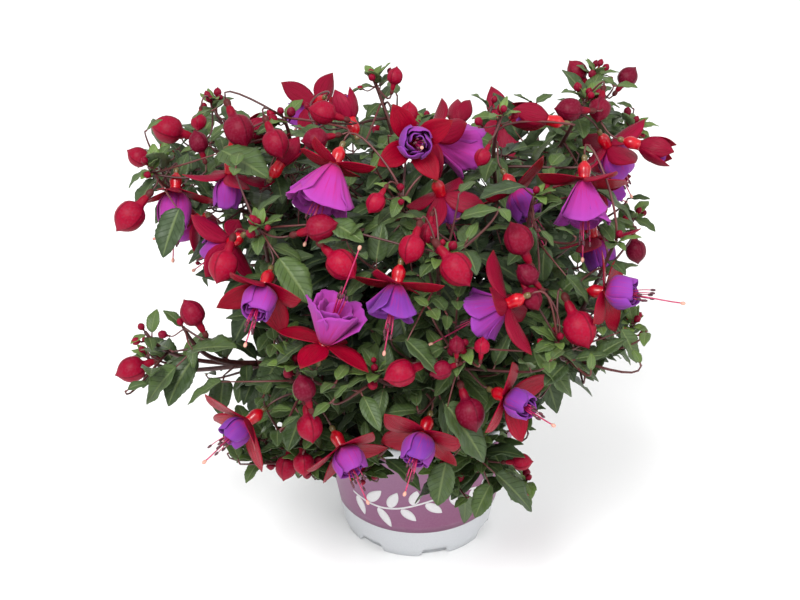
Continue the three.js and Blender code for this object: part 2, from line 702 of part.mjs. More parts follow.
function shootCurve(start, startAlong, tip) {
  const end = vec(tip);
  const reach = start.distanceTo(end);
  const outward = new THREE.Vector3(end.x, end.y, 0).normalize();
  const finish = spot(new THREE.Vector3(), [outward, 0.35], [UP, 0.9]).normalize();
  const bow = spot(start, [startAlong, 0.35 * reach]);
  return new THREE.CubicBezierCurve3(start, bow, spot(end, [finish, -0.3 * reach]), end);
}

// A place on the straight pieces of a strand, and the way that they run there.
function alongPoints(points, t) {
  const scaled = t * (points.length - 1);
  const i = Math.min(Math.floor(scaled), points.length - 2);
  const along = new THREE.Vector3().subVectors(points[i + 1], points[i]).normalize();
  return { point: points[i].clone().lerp(points[i + 1], scaled - i), along };
}

// A shoot's own points, and the strand through them that ends in a small bud.
function shootStrand(curve, look) {
  const points = curve.getPoints(look.steps);
  const { point, along } = alongPoints(points, 1);
  const bud = [0.4, 1].map((t) => spot(point, [along, t * TIP_BUD.length]));
  const radii = points.map((_, i) => {
    return THREE.MathUtils.lerp(look.footRadius, look.tipRadius, i / look.steps);
  });
  return { points, strandPoints: [...points, ...bud], radii: [...radii, TIP_BUD.width / 2, 0] };
}

const shoots = [];
const holes = [];

function addShoot(owner, curve, look, seed, pairs, footPoints = []) {
  const { points, strandPoints, radii } = shootStrand(curve, look);
  const footRadii = footPoints.map(() => look.footRadius);
  const body = strand([...footPoints, ...strandPoints], [...footRadii, ...radii], look.sides);
  place(owner, solidOf(body), true);
  shoots.push({ owner, points, pairs, seed });
  return points;
}

BRANCHES.forEach(({ name, turn, tip, pairs, shoots: sideShoots }, b) => {
  const angle = degrees(turn);
  const foot = vec([STEM.ring * Math.cos(angle), STEM.ring * Math.sin(angle), SOIL.top - STEM.foot]);
  const start = spot(foot, [UP, STEM.foot + SOIL.crown]);
  const seed = 100 * (b + 1);
  const points = addShoot(name, shootCurve(start, UP, tip), STEM, seed, pairs, [foot]);
  const hole = [spot(foot, [UP, -GAP]), spot(foot, [UP, 3 * STEM.foot])];
  const holeRadius = STEM.footRadius + STEM.clearance;
  holes.push(solidOf(strand(hole, [holeRadius, holeRadius], STEM.sides)));
  sideShoots.forEach((side, s) => {
    const fork = alongPoints(points, side.from);
    addShoot(name, shootCurve(fork.point, fork.along, side.tip), SIDE_SHOOT, seed + s + 1, side.pairs);
  });
});

// The places on the shoots that are nearest to a point, one for each shoot, nearest first.
function nearestOnShoots(point, count) {
  const found = shoots.map(({ owner, points }) => {
    const starts = Array.from({ length: 17 }, (_, i) => alongPoints(points, (i + 4) / 20).point);
    const distances = starts.map((start) => start.distanceTo(point));
    const distance = Math.min(...distances);
    return { owner, start: starts[distances.indexOf(distance)], distance };
  });
  return found.sort((a, b) => a.distance - b.distance).slice(0, count);
}

function isNear({ distance }) {
  return distance < LONGEST_STALK;
}

// Pedicels of the blooms, and the opening blooms with theirs

function pedicelVariants(end, facing, bloomParts = []) {
  const radii = Array(PEDICEL.steps + 2).fill(PEDICEL.radius);
  return nearestOnShoots(end, 6).flatMap(({ owner, start }) => PEDICEL.arches.map((arch) => {
    const points = pedicelPoints(start, end, facing, arch);
    return { owner, parts: [strand(points, radii, PEDICEL.sides), ...bloomParts] };
  }));
}

blooms.forEach(({ throat, facing }, i) => {
  const along = vec(facing).normalize();
  const end = spot(vec(throat), [along, TUBE[0].z - GAP]);
  placeOne(pedicelVariants(end, along), `pedicel ${i + 1}`);
});

OPENING_BLOOMS.forEach((bloom, i) => {
  const along = vec(bloom.facing).normalize();
  const end = spot(vec(bloom.throat), [along, TUBE[0].z + 1]);
  placeOne(pedicelVariants(end, along, [perianthGeometry(bloom)]), `opening bloom ${i + 1}`);
});

// A bud moves a little outwards where it would cross another node.
BUDS.forEach(({ at, width, tip }, i) => {
  const outward = vec(at).sub(CROWN).normalize();
  const variants = [0, 3, 6, 9].flatMap((shift) => {
    const moved = spot(vec(at), [outward, shift]);
    return nearestOnShoots(vec(at), 6).filter(isNear).map(({ owner, start }) => {
      const away = new THREE.Vector3().subVectors(moved, start).normalize();
      const tipAlong = tip ? vec(tip).normalize() : spot(away, [UP, -0.8]).normalize();
      return { owner, parts: [budGeometry({ start, at: moved, tip: tipAlong, width })] };
    });
  });
  placeOne(variants, `bud ${i + 1}`);
});

// A leaf that stands out grows from a shoot behind it. It swings aside, down or outwards where it
// would cross another node.
LEAVES.forEach(({ from, to }, i) => {
  const length = vec(from).distanceTo(vec(to));
  const ahead = new THREE.Vector3().subVectors(vec(to), vec(from)).normalize();
  const { side } = squareTo(ahead);
  const outward = vec(from).sub(CROWN).normalize();
  const behind = nearestOnShoots(vec(from), 12).filter(isNear).filter(({ start, distance }) => {
    return vec(from).sub(start).dot(ahead) > 0.05 * distance;
  });
  const variants = LEAF_SHIFTS.flatMap(({ out, down, aside }) => behind.map(({ owner, start }) => {
    const base = spot(vec(from), [outward, out]);
    const tip = spot(vec(to), [outward, out], [UP, -down], [side, aside]);
    const along = tip.sub(base).normalize();
    const blade = { root: start, base, along, length, width: 0.46 * length, bend: 0.25 };
    return { owner, parts: [leafGeometry(blade)] };
  }));
  placeOne(variants, `leaf ${i + 1}`);
});

// Pairs of leaves up each shoot, each pair square to the last. A leaf turns aside or stays smaller
// where it would cross another piece, and is left out where nothing is clear.
for (const { owner, points, pairs, seed } of shoots) {
  const random = randomStream(seed);
  const firstTurn = 360 * random();
  for (let p = 0; p < pairs; p += 1) {
    const { point: base, along: stemAlong } = alongPoints(points, 0.97 - (0.62 * p) / pairs);
    const { side, top } = squareTo(stemAlong);
    const share = pairs > 1 ? p / (pairs - 1) : 0.5;
    for (let k = 0; k < 2; k += 1) {
      const turn = firstTurn + 90 * p + 180 * k + 30 * (random() - 0.5);
      const full = THREE.MathUtils.lerp(SHORTEST_LEAF, LONGEST_LEAF, share) * (0.85 + 0.3 * random());
      const lean = 0.35 + 0.35 * random();
      const bend = 0.3 + 0.6 * random();
      const variants = [0, 25, -25, 50, -50, 75, -75].flatMap((extra) => [1, 0.75].map((scale) => {
        const angle = degrees(turn + extra);
        const out = spot(new THREE.Vector3(), [side, Math.cos(angle)], [top, Math.sin(angle)]);
        const along = spot(out, [stemAlong, lean]).normalize();
        const length = scale * full;
        return { owner, parts: [leafGeometry({ base, along, length, width: 0.44 * length, bend })] };
      }));
      placeFirstClear(variants, true);
    }
  }
}

// Each branch is joined into one body.
for (const { name } of BRANCHES) {
  const solids = placed.filter(({ owner }) => owner === name).map(({ solid }) => solid);
  const bodies = wasm.Manifold.union(solids).decompose();
  if (bodies.length > 1) throw new Error(`${name} falls into ${bodies.length} bodies`);
  addMesh(name, geometryOf(bodies[0]), materials.branch);
}

addMesh("pot", potGeometry(), materials.pot);
addMesh("label", labelGeometry(), materials.label);
addMesh("soil", soilGeometry(holes), materials.soil);

export default plant;
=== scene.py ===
# A bushy fuchsia in full flower in a small white plastic pot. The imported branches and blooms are
# dressed as fine pieces that keep their places and forms, and small leaves, buds, stamens and the
# label's ornament are added. Lengths are in millimetres until a mesh is made.

from collections import namedtuple
from functools import lru_cache
from math import atan, cos, degrees, hypot, pi, radians, sin, tau

import bpy
import numpy as np
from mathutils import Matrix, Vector
from numpy.linalg import norm


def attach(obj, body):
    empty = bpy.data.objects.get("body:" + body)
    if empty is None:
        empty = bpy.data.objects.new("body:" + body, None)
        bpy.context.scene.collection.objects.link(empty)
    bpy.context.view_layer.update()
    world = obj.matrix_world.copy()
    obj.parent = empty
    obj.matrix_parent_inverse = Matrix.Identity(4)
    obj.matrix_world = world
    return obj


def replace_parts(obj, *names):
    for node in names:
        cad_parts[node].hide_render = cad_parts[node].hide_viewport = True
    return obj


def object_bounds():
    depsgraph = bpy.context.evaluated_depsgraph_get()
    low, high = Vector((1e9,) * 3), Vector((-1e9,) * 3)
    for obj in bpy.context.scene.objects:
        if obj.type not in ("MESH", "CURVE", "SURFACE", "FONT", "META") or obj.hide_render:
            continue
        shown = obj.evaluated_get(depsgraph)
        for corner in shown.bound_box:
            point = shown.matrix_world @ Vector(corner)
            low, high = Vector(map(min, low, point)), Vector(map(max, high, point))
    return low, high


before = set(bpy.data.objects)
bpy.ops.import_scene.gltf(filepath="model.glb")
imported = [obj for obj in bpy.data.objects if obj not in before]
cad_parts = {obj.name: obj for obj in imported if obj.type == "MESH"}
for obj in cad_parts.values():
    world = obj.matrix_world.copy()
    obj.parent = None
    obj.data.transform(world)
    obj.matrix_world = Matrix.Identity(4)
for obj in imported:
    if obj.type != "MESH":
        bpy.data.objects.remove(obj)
cad_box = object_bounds()

# Camera: it stands as the photograph's did, for a picture of 800 by 600

MM = 0.001
BRIGHTNESS = 1.5
PICTURE = (800, 600)
LENS, SENSOR = 70, 36
CAMERA_AT = np.array([-10.404, -756.991, 591.427])
CAMERA_PITCH = radians(30.31)
FOCAL = LENS / SENSOR * PICTURE[0]

# Driving dimensions, the same as in the part's source

GAP = 0.3
UP = np.array([0.0, 0.0, 1.0])
CROWN = np.array([0.0, 0.0, 150.0])
POT = {"sides": 26, "height": 88, "rim": 60, "foot": 44, "foot_width": 5, "underside": 2.2,
       "floor": 4, "wall": 1.5, "rim_height": 7, "rim_lip": 1.2}
NOTCH = {"count": 7, "width": 19, "top_width": 12, "height": 4.5, "depth": 3, "turn": -77}
LABEL = {"bottom": 21, "top": 79, "first_side": -5, "last_side": 6}
SOIL = {"top": 75, "crown": 3}
STEM = {"ring": 15, "foot": 10, "foot_radius": 2.3, "tip_radius": 0.9, "steps": 6}
SIDE_SHOOT = {"foot_radius": 1.6, "tip_radius": 0.9, "steps": 3}
PEDICEL = {"radius": 0.65, "seat": 2, "arches": (1, 0.4, -0.3, 1.8)}
TUBE_START = -12.5
SEPAL = {"seat": -0.2, "corner": 2.6, "joints": (0.34, 0.7, 1), "pivot": 0.4}
SEPAL_CURL = {"open": 12, "closed": -50}
HALF_OPEN = 50
STYLE_SHOWING = 14
SHORTEST_LEAF, LONGEST_LEAF, LONGEST_STALK = 15, 30, 50
LARGE_LEAF_BEND = 0.25
BUD_REACH = {"neck": -0.92, "tip": 0.66}

# The main stems: the name, the turn of the foot, the tip, the pairs of leaves, and the side
# shoots, each with how far up the stem it leaves, its tip and its pairs of leaves.

BRANCHES = [
    ("branch_01", 165, (-114, 32, 256), 3, [
        (0.55, (-70, -24, 271), 2), (0.5, (-140, -30, 246), 2), (0.6, (-146, 48, 214), 2)]),
    ("branch_02", 205, (-140, -82, 178), 3, [
        (0.6, (-118, -97, 190), 2), (0.55, (-148, -44, 140), 2), (0.4, (-78, -92, 243), 3)]),
    ("branch_03", 245, (-84, -98, 112), 2, [
        (0.45, (-60, -124, 186), 2), (0.6, (-60, -112, 120), 2), (0.5, (-30, -106, 108), 2)]),
    ("branch_04", 275, (20, -132, 200), 3, [
        (0.55, (-22, -132, 186), 2), (0.45, (8, -112, 238), 3)]),
    ("branch_05", 310, (56, -98, 96), 3, [
        (0.5, (26, -122, 142), 2), (0.6, (12, -98, 104), 2)]),
    ("branch_06", 345, (106, -94, 190), 3, [
        (0.6, (66, -120, 196), 2), (0.5, (96, -82, 231), 2), (0.4, (55, -78, 253), 3)]),
    ("branch_07", 20, (100, 58, 264), 3, [
        (0.55, (120, 44, 236), 2), (0.35, (40, -44, 281), 3), (0.5, (126, 46, 178), 2),
        (0.6, (88, 8, 268), 1)]),
    ("branch_08", 90, (-24, 4, 280), 3, [
        (0.45, (-10, -86, 259), 3), (0.5, (40, 34, 252), 3), (0.5, (-62, 62, 236), 1)]),
    ("branch_09", 125, (6, 124, 204), 2, [
        (0.45, (-88, 110, 188), 2), (0.4, (92, 108, 200), 2), (0.45, (-128, 82, 138), 1),
        (0.5, (66, 128, 132), 1), (0.6, (-40, 132, 130), 1)]),
]

# Open blooms: the throat, the way it faces, the sepals' length and opening in degrees, the petals'
# length and the radius of their rim, the roll in degrees, the kind, and the length that the style
# shows where it isn't the usual one. Those in MAGENTA are redder.

BLOOMS = [
    ((-42, -78, 270), (-0.36, -0.63, -0.69), 21, 94, 24, 15, 51, "skirt"),
    ((-4, -64, 275), (0.14, -0.9, 0.42), 21, 62, 13, 8, 72, "barrel"),
    ((6, -27, 261), (0.85, 0.26, -0.46), 23, 73, 24, 13, 88, "skirt"),
    ((-127, -31, 233), (-0.01, -0.7, -0.72), 22, 66, 20, 8, 51, "barrel"),
    ((80, -68, 257), (-0.03, -0.6, -0.8), 25, 86, 22, 12.5, 15, "skirt"),
    ((101, 5, 241), (0.48, 0.13, -0.87), 24, 83, 18, 9, 33, "barrel"),
    ((-95, -74, 225), (-0.7, 0.35, -0.62), 22, 70, 15, 8, 30, "barrel"),
    ((-75, -114, 223), (-0.25, -0.87, -0.43), 25, 62, 16, 8, 66, "barrel"),
    ((-46, -133, 203), (0.3, 0.1, 0.95), 23, 96, 21, 13, 4, "skirt", 56),
    ((-12, -124, 230), (-0.19, -0.61, -0.77), 22, 88, 16, 10, 54, "skirt"),
    ((40, -124, 219), (-0.88, 0.05, -0.48), 25, 90, 17, 11, 86, "skirt", 40),
    ((90, -100, 212), (0.91, -0.39, 0.16), 23, 83, 15, 8, 55, "barrel", 38),
    ((41, -136, 174), (0.72, -0.69, 0.02), 24, 69, 14, 7, 55, "barrel"),
    ((-86, -122, 150), (-0.75, -0.55, -0.38), 26, 64, 13, 7, 63, "barrel"),
    ((-39, -132, 142), (0.45, -0.71, -0.54), 25, 69, 14, 8, 31, "barrel"),
    ((1, -136, 153), (-0.31, -0.78, -0.54), 26, 77, 15, 8, 75, "barrel"),
    ((10, -67, 248), (0.3, 0.15, -0.93), 21, 66, 14, 7, 5, "barrel"),
    ((47, -55, 245), (0.5, -0.54, -0.68), 23, 98, 16, 8, 29, "barrel"),
    ((88, -58, 219), (0.3, -0.32, -0.9), 23, 82, 15, 8, 15, "barrel"),
    ((-60, 108, 222), (-0.45, 0.6, -0.66), 23, 82, 19, 11, 5, "skirt"),
    ((52, 118, 205), (0.2, 0.75, -0.63), 23, 82, 17, 9, 20, "barrel"),
    ((108, 92, 176), (0.7, 0.5, -0.52), 23, 82, 17, 9, 10, "skirt"),
    ((-132, 62, 168), (-0.82, 0.32, -0.47), 23, 82, 18, 10, 75, "barrel"),
    ((-6, 138, 156), (-0.1, 0.8, -0.59), 23, 82, 16, 8, 0, "skirt"),
]

MAGENTA = {1, 3, 4, 5, 9}

# Opening blooms: the throat, the way it faces, and the sepals' length and opening

OPENING_BLOOMS = [
    ((64, -27, 271), (-0.98, 0, 0.19), 20, 24),
    ((115, -17, 252), (0.94, -0.28, -0.19), 19, 26),
    ((-92, -14, 255), (0.78, 0.54, 0.32), 17, 30),
    ((-71, -38, 252), (0.53, 0.59, 0.61), 17, 26),
    ((-36, -21, 269), (-0.34, 0.64, 0.69), 17, 28),
    ((-97, -42, 247), (-0.12, -0.3, -0.95), 23, 80),
    ((24, 118, 206), (0.3, 0.85, 0.3), 18, 28),
]

# Large buds: the middle, the width, and the way of the tip where it isn't away from the shoot

BUDS = [
    ((-136, 17, 246), 15, (-0.9, 0, 0.3)), ((-114, -26, 258), 10, (-0.3, 0.3, 0.9)),
    ((-117, 2, 257), 8), ((-92, -33, 268), 15, (0.4, -0.6, -0.7)),
    ((-72, -51, 269), 13, (0.4, -0.6, -0.7)), ((-156, 31, 223), 11, (-0.8, 0.1, 0.5)),
    ((-140, -52, 226), 15, (-0.65, -0.5, -0.6)), ((-47, -103, 248), 13, (1, 0, 0.3)),
    ((-49, -34, 278), 12, (-0.9, 0, 0.3)), ((-52, -55, 273), 11, (-1, -0.2, -0.1)),
    ((-13, -6, 286), 8, (0.2, 0.4, 0.9)), ((-6, -25, 274), 9, (0.1, 0.4, 0.9)),
    ((-22, -97, 259), 9, (-0.5, -0.5, -0.6)), ((-38, -116, 236), 14, (0.7, -0.5, -0.5)),
    ((30, -63, 267), 8, (-0.5, -0.6, -0.7)), ((89, 61, 262), 11, (-0.6, 0.3, 0.7)),
    ((118, 64, 257), 11, (0.6, 0.3, 0.7)), ((77, -14, 271), 12, (-1, -0.1, 0.1)),
    ((94, -4, 267), 11, (-0.2, -0.6, -0.8)), ((46, -104, 243), 14, (-0.4, 0.3, 0.8)),
    ((-5, -114, 243), 12, (-0.3, -0.6, -0.7)), ((3, -103, 246), 9, (-0.2, -0.6, -0.8)),
    ((16, -124, 238), 15, (0.6, -0.5, -0.6)), ((50, -115, 230), 10, (-0.7, 0.2, 0.7)),
    ((52, -120, 220), 10, (0.5, -0.6, -0.7)), ((76, -118, 202), 16, (0.4, -0.6, -0.7)),
    ((-113, -97, 198), 12, (-0.5, 0.3, 0.8)), ((-155, -52, 136), 14, (-0.9, -0.3, -0.2)),
    ((16, -141, 207), 7, (0, 0.4, 0.9)), ((28, -139, 205), 7, (0.1, 0.4, 0.9)),
    ((-10, -145, 194), 13, (-0.9, -0.3, -0.2)), ((9, -144, 195), 9, (-0.9, -0.3, -0.2)),
    ((23, -145, 171), 14, (0.3, -0.6, -0.7)), ((-56, -140, 182), 11, (-0.3, 0.3, 0.9)),
    ((-54, -139, 159), 12, (0.2, -0.6, -0.8)), ((-69, -109, 113), 11, (-0.2, -0.6, -0.8)),
    ((-59, -121, 124), 10, (0.1, -0.6, -0.8)), ((52, -110, 117), 9, (1, -0.1, 0.1)),
    ((-96, -99, 226), 14, (-0.3, -0.6, -0.7)), ((120, 96, 196), 13), ((-100, 104, 166), 13),
    ((-30, 132, 190), 14), ((126, 34, 162), 12),
]

# Leaves that stand out: the end of the stalk and the tip

LEAVES = [
    ((-123, -99, 168), (-144, -106, 148)), ((-114, -106, 182), (-87, -119, 197)),
    ((-98, -118, 172), (-120, -120, 160)), ((-137, -34, 241), (-152, -43, 223)),
    ((-112, -68, 238), (-123, -85, 216)), ((-100, -47, 263), (-71, -72, 262)),
    ((-44, -101, 251), (-22, -108, 247)), ((-68, -108, 235), (-54, -132, 222)),
    ((-8, -141, 210), (12, -149, 195)), ((50, -77, 258), (24, -92, 262)),
    ((99, 50, 243), (121, 50, 240)), ((88, -59, 247), (113, -62, 230)),
    ((98, -106, 194), (110, -112, 176)), ((53, -129, 197), (79, -135, 172)),
    ((66, -125, 193), (91, -128, 179)), ((11, -146, 177), (37, -155, 146)),
    ((13, -134, 130), (7, -145, 106)), ((38, -120, 117), (63, -127, 97)),
    ((-58, -130, 200), (-78, -132, 188)), ((69, -109, 226), (87, -112, 214)),
    ((36, -118, 109), (25, -126, 90)),
]

# How far a large leaf may swing from its place, in the order that is tried: out, down, aside

LEAF_SHIFTS = [
    (out, down, aside)
    for out in (0, -5, 5, -10, 10)
    for down, aside in ((0, 0), (5, 0), (0, 6), (0, -6), (10, 0), (6, 8), (6, -8), (-6, 0), (-12, 0))
]

# The foliage's outline in the photograph, in its pixels, and the thin lower left of the bush

OUTLINE = np.array([
    (205, 85), (262, 105), (330, 98), (350, 92), (362, 60), (400, 62), (405, 95), (440, 112), (475, 115),
    (505, 85), (545, 85), (565, 60), (590, 50), (640, 66), (645, 108), (685, 145), (675, 182), (648, 225),
    (640, 262), (652, 300), (648, 365), (600, 388), (565, 375), (542, 400), (562, 430), (525, 450),
    (545, 512), (512, 512), (482, 470), (470, 526), (430, 526), (420, 480), (340, 484), (300, 482),
    (255, 470), (205, 462), (215, 404), (180, 395), (135, 410), (112, 372), (140, 328), (190, 335),
    (205, 300), (180, 262), (165, 232), (130, 225), (138, 175), (122, 155), (150, 118), (185, 110),
])
SPARSE = {"right": 250, "top": 300, "bottom": 400, "kept": 0.8}

# The small foliage: its leaves' lengths towards the foot and the tip of a stem or a twig, how far
# it keeps from the solids' box and the pot, and the dark leaves deep in the bush

STEM_LEAVES = {"longest": 30, "shortest": 16, "tone": 0.25}
TWIG_LEAVES = {"longest": 29, "shortest": 14, "tone": 0.3}
TIP_LEAVES, TIP_BUDS = 8, 4
LEAF_SPACING = 10
PAST_BOX = 3
OFF_POT = {"above": 2, "round": 4}
HEART = {"centre": (-6, 8, 168), "reach": (112, 100, 82), "leaves": 620, "longest_stalk": 42}

rng = np.random.default_rng(7)
uniform = rng.uniform

# Vectors and curves


def vec(values):
    return np.array(values, float)


def unit(vector):
    return vector / norm(vector)


def square_to(along):
    """Two directions square to the one given: a level one if there is one, and the upper one."""
    side = np.cross(UP, along)
    if norm(side) < 0.05:
        side = vec((1, 0, 0))
    side = unit(side - along * side.dot(along))
    return side, unit(np.cross(along, side))


def round_about(along, turn):
    """A direction square to the one given, at a turn about it in degrees."""
    side, top = square_to(along)
    return side * cos(radians(turn)) + top * sin(radians(turn))


def turned(angle, start, towards):
    """One direction turned by each of some angles towards another that is square to it."""
    return np.cos(angle)[..., None] * start + np.sin(angle)[..., None] * towards


def bezier(corners, count):
    t = np.linspace(0, 1, count)[:, None]
    a, b, c, d = corners
    return (1 - t) ** 3 * a + 3 * (1 - t) ** 2 * t * b + 3 * (1 - t) * t ** 2 * c + t ** 3 * d


def along_points(points, t):
    """A place on the straight pieces of a strand, and the way that they run there."""
    scaled = t * (len(points) - 1)
    i = min(int(scaled), len(points) - 2)
    step = points[i + 1] - points[i]
    return points[i] + step * (scaled - i), unit(step)


def leaf_end(base, along, length, bend):
    """The tip of a leaf that sets out along its way and bends down by an angle."""
    top = square_to(along)[1]
    return base + length * (along * sin(bend) - top * (1 - cos(bend))) / bend


def in_picture(point):
    """Where a point falls in the picture, and how far it is from the camera."""
    q = np.asarray(point) - CAMERA_AT
    forward = vec((0, cos(CAMERA_PITCH), -sin(CAMERA_PITCH)))
    upward = vec((0, sin(CAMERA_PITCH), cos(CAMERA_PITCH)))
    depth = q @ forward
    x = PICTURE[0] / 2 + FOCAL * q[..., 0] / depth
    return x, PICTURE[1] / 2 - FOCAL * (q @ upward) / depth, depth


def random_stream(seed):
    """The same stream of random numbers as the part's source draws."""
    word, step = 0xFFFFFFFF, 0x6D2B79F5
    state = seed & word

    def draw():
        nonlocal state
        state = (state + step) & word
        mixed = (state ^ (state >> 15)) * (state | 1) & word
        mixed ^= (mixed + (mixed ^ (mixed >> 7)) * (mixed | 61)) & word
        return (mixed ^ (mixed >> 14)) / (word + 1)

    return draw


# Gathering many small bodies into one mesh. Each point carries paint that its material reads:
# how far across and along the body it lies, the body's own tone, and 1 on the upper face of a
# sheet or 0 elsewhere.


@lru_cache(None)
def sheet_faces(rows, columns):
    """The upper and lower faces of a sheet and those round its edge."""
    grid = np.arange(rows * columns).reshape(rows, columns)
    corners = [grid[:-1, :-1], grid[1:, :-1], grid[1:, 1:], grid[:-1, 1:]]
    upper, lower = np.stack(corners, axis=-1), np.stack(corners[::-1], axis=-1) + grid.size
    edge = np.concatenate([grid[0], grid[1:, -1], grid[-1, -2::-1], grid[-2:0:-1, 0]])
    ahead = np.roll(edge, -1)
    strip = np.stack([edge, ahead, ahead + grid.size, edge + grid.size], axis=-1)
    return [np.concatenate([np.stack([upper, lower], axis=2).reshape(-1, 4), strip])]


@lru_cache(None)
def tube_faces(rows, sides):
    """The faces round a tube and one at each end."""
    ring, ahead = np.arange(sides), np.roll(np.arange(sides), -1)
    start = sides * np.arange(rows - 1)[:, None]
    quads = np.stack([start + ring, start + ahead, start + sides + ahead, start + sides + ring], axis=-1)
    return [quads.reshape(-1, 4), ring[None, ::-1], ring[None, :] + (rows - 1) * sides]


def new_object(name, data):
    made = bpy.data.objects.new(name, data)
    bpy.context.scene.collection.objects.link(made)
    return made


class Gather:
    """The points, paint, faces and looks of the bodies that one piece is made of."""

    def __init__(self):
        self.points = []
        self.paint = []
        self.faces = []
        self.looks = []
        self.count = 0

    def add(self, points, paint, face_sets, look):
        for faces in face_sets:
            self.faces.extend((faces + self.count).tolist())
            self.looks.extend([look] * len(faces))
        self.points.append(points)
        self.paint.append(paint)
        self.count += len(points)

    def sheet(self, grid, thickness, look, tone):
        """A closed sheet about a grid of points."""
        rows, columns = grid.shape[:2]
        normal = np.cross(np.gradient(grid, axis=0), np.gradient(grid, axis=1))
        normal /= norm(normal, axis=2, keepdims=True) + 1e-9
        half = 0.5 * np.broadcast_to(thickness, (rows, columns))[..., None] * normal
        points = np.concatenate([(grid + half).reshape(-1, 3), (grid - half).reshape(-1, 3)])
        v, u = np.meshgrid(np.linspace(0, 1, rows), np.linspace(0, 1, columns), indexing="ij")
        paint = [np.c_[u.ravel(), v.ravel(), np.full((u.size, 2), (tone, upper))] for upper in (1, 0)]
        self.add(points, np.concatenate(paint), sheet_faces(rows, columns), look)

    def tube(self, points, radii, sides, look, tone, ridge=0.0):
        """A round body through points; four of its sides may stand out as ridges."""
        points = np.asarray(points)
        ways = np.gradient(points, axis=0)
        side = square_to(unit(ways[0]))[0]
        turn = tau * np.arange(sides) / sides
        from_ridge = np.abs(((turn / (pi / 2) + 0.5) % 1) - 0.5) * 2
        swell = (1 + ridge * (1 - from_ridge) ** 4)[:, None]
        rings = []
        for point, way, radius in zip(points, ways, radii):
            way = unit(way)
            side = unit(side - way * side.dot(way))
            rings.append(point + radius * swell * turned(turn, side, np.cross(way, side)))
        paint = np.zeros((len(points) * sides, 4))
        paint[:, 0] = np.tile(from_ridge, len(points))
        paint[:, 1] = np.repeat(np.linspace(0, 1, len(points)), sides)
        paint[:, 2] = tone
        self.add(np.concatenate(rings), paint, tube_faces(len(points), sides), look)

    def make(self, name, slot):
        """The piece itself, in metres, riding on the plant's one body."""
        mesh = bpy.data.meshes.new(name)
        mesh.from_pydata((np.concatenate(self.points) * MM).tolist(), [], self.faces)
        names = sorted(set(self.looks))
        for look in names:
            mesh.materials.append(LOOKS[look])
        mesh.polygons.foreach_set("material_index", [names.index(look) for look in self.looks])
        mesh.polygons.foreach_set("use_smooth", [True] * len(self.faces))
        paint = mesh.color_attributes.new("paint", "FLOAT_COLOR", "POINT")
        paint.data.foreach_set("color", np.concatenate(self.paint).ravel())
        mesh.update()
        piece = new_object(name, mesh)
        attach(piece, "root")
        return piece


# Materials. A colour is given as it looks in the studio's bright light, each part from 0 to 255.


def srgb(color):
    return tuple((part / 255) ** 2.2 / BRIGHTNESS for part in color) + (1,)


class Look:
    """A material with one shader, and short ways to add the nodes that colour it."""

    def __init__(self, name, roughness, specular=0.5, coat=0, sheen=0):
        self.material = bpy.data.materials.new(name)
        self.material.use_nodes = True
        self.tree = self.material.node_tree
        self.shader = self.tree.nodes["Principled BSDF"]
        self.feed(self.shader, {"Roughness": roughness, "Specular IOR Level": specular,
                                "Coat Weight": coat, "Coat Roughness": 0.25, "Sheen Weight": sheen})

    def feed(self, node, sockets):
        """Links other nodes' outputs to a node's sockets, or sets the sockets to values."""
        for socket, value in sockets.items():
            if isinstance(value, bpy.types.NodeSocket):
                self.tree.links.new(value, node.inputs[socket])
            else:
                node.inputs[socket].default_value = value

    def node(self, kind, sockets, output=0, **settings):
        """Adds a node and returns one of its outputs."""
        made = self.tree.nodes.new("ShaderNode" + kind)
        for key, value in settings.items():
            setattr(made, key, value)
        self.feed(made, sockets)
        return made.outputs[output]

    def place(self):
        return self.node("TexCoord", {}, "Object")

    def paint(self):
        """The paint's four values: across, along, tone and upper face."""
        source = self.node("Attribute", {}, "Color", attribute_name="paint")
        split = self.node("SeparateColor", {0: source}).node
        return (*split.outputs, source.node.outputs["Alpha"])

    def math(self, operation, a, b=0):
        return self.node("Math", {0: a, 1: b}, operation=operation)

    def ramp(self, value, low, high, start=0, end=1):
        """Goes smoothly from start to end as a value rises from low to high."""
        sockets = {"Value": value, "From Min": low, "From Max": high, "To Min": start, "To Max": end}
        return self.node("MapRange", sockets, interpolation_type="SMOOTHSTEP")

    def mix(self, factor, a, b):
        """A blend of two colours, each given by its three parts or by a node."""
        a, b = (srgb(color) if isinstance(color, tuple) else color for color in (a, b))
        return self.node("Mix", {0: factor, 6: a, 7: b}, 2, data_type="RGBA")

    def wash(self, color, over, *levels):
        """A colour with another laid over it by a ramp of the levels given."""
        return self.mix(self.ramp(*levels), color, over)

    def noise(self, scale, detail=3, stretch=(1, 1, 1), place=None):
        place = self.node("Mapping", {"Scale": stretch, "Vector": place or self.place()})
        return self.node("TexNoise", {"Scale": scale, "Detail": detail, "Vector": place})

    def streaks(self, stretch):
        """Noise drawn out along a body by its paint."""
        return self.noise(1, 2, stretch, self.node("Attribute", {}, "Vector", attribute_name="paint"))

    def bump(self, height, strength):
        sockets = {"Strength": strength, "Distance": 0.0004, "Height": height}
        self.feed(self.shader, {"Normal": self.node("Bump", sockets)})

    def done(self, color, **sockets):
        self.feed(self.shader, {"Base Color": color, **sockets})
        return self.material


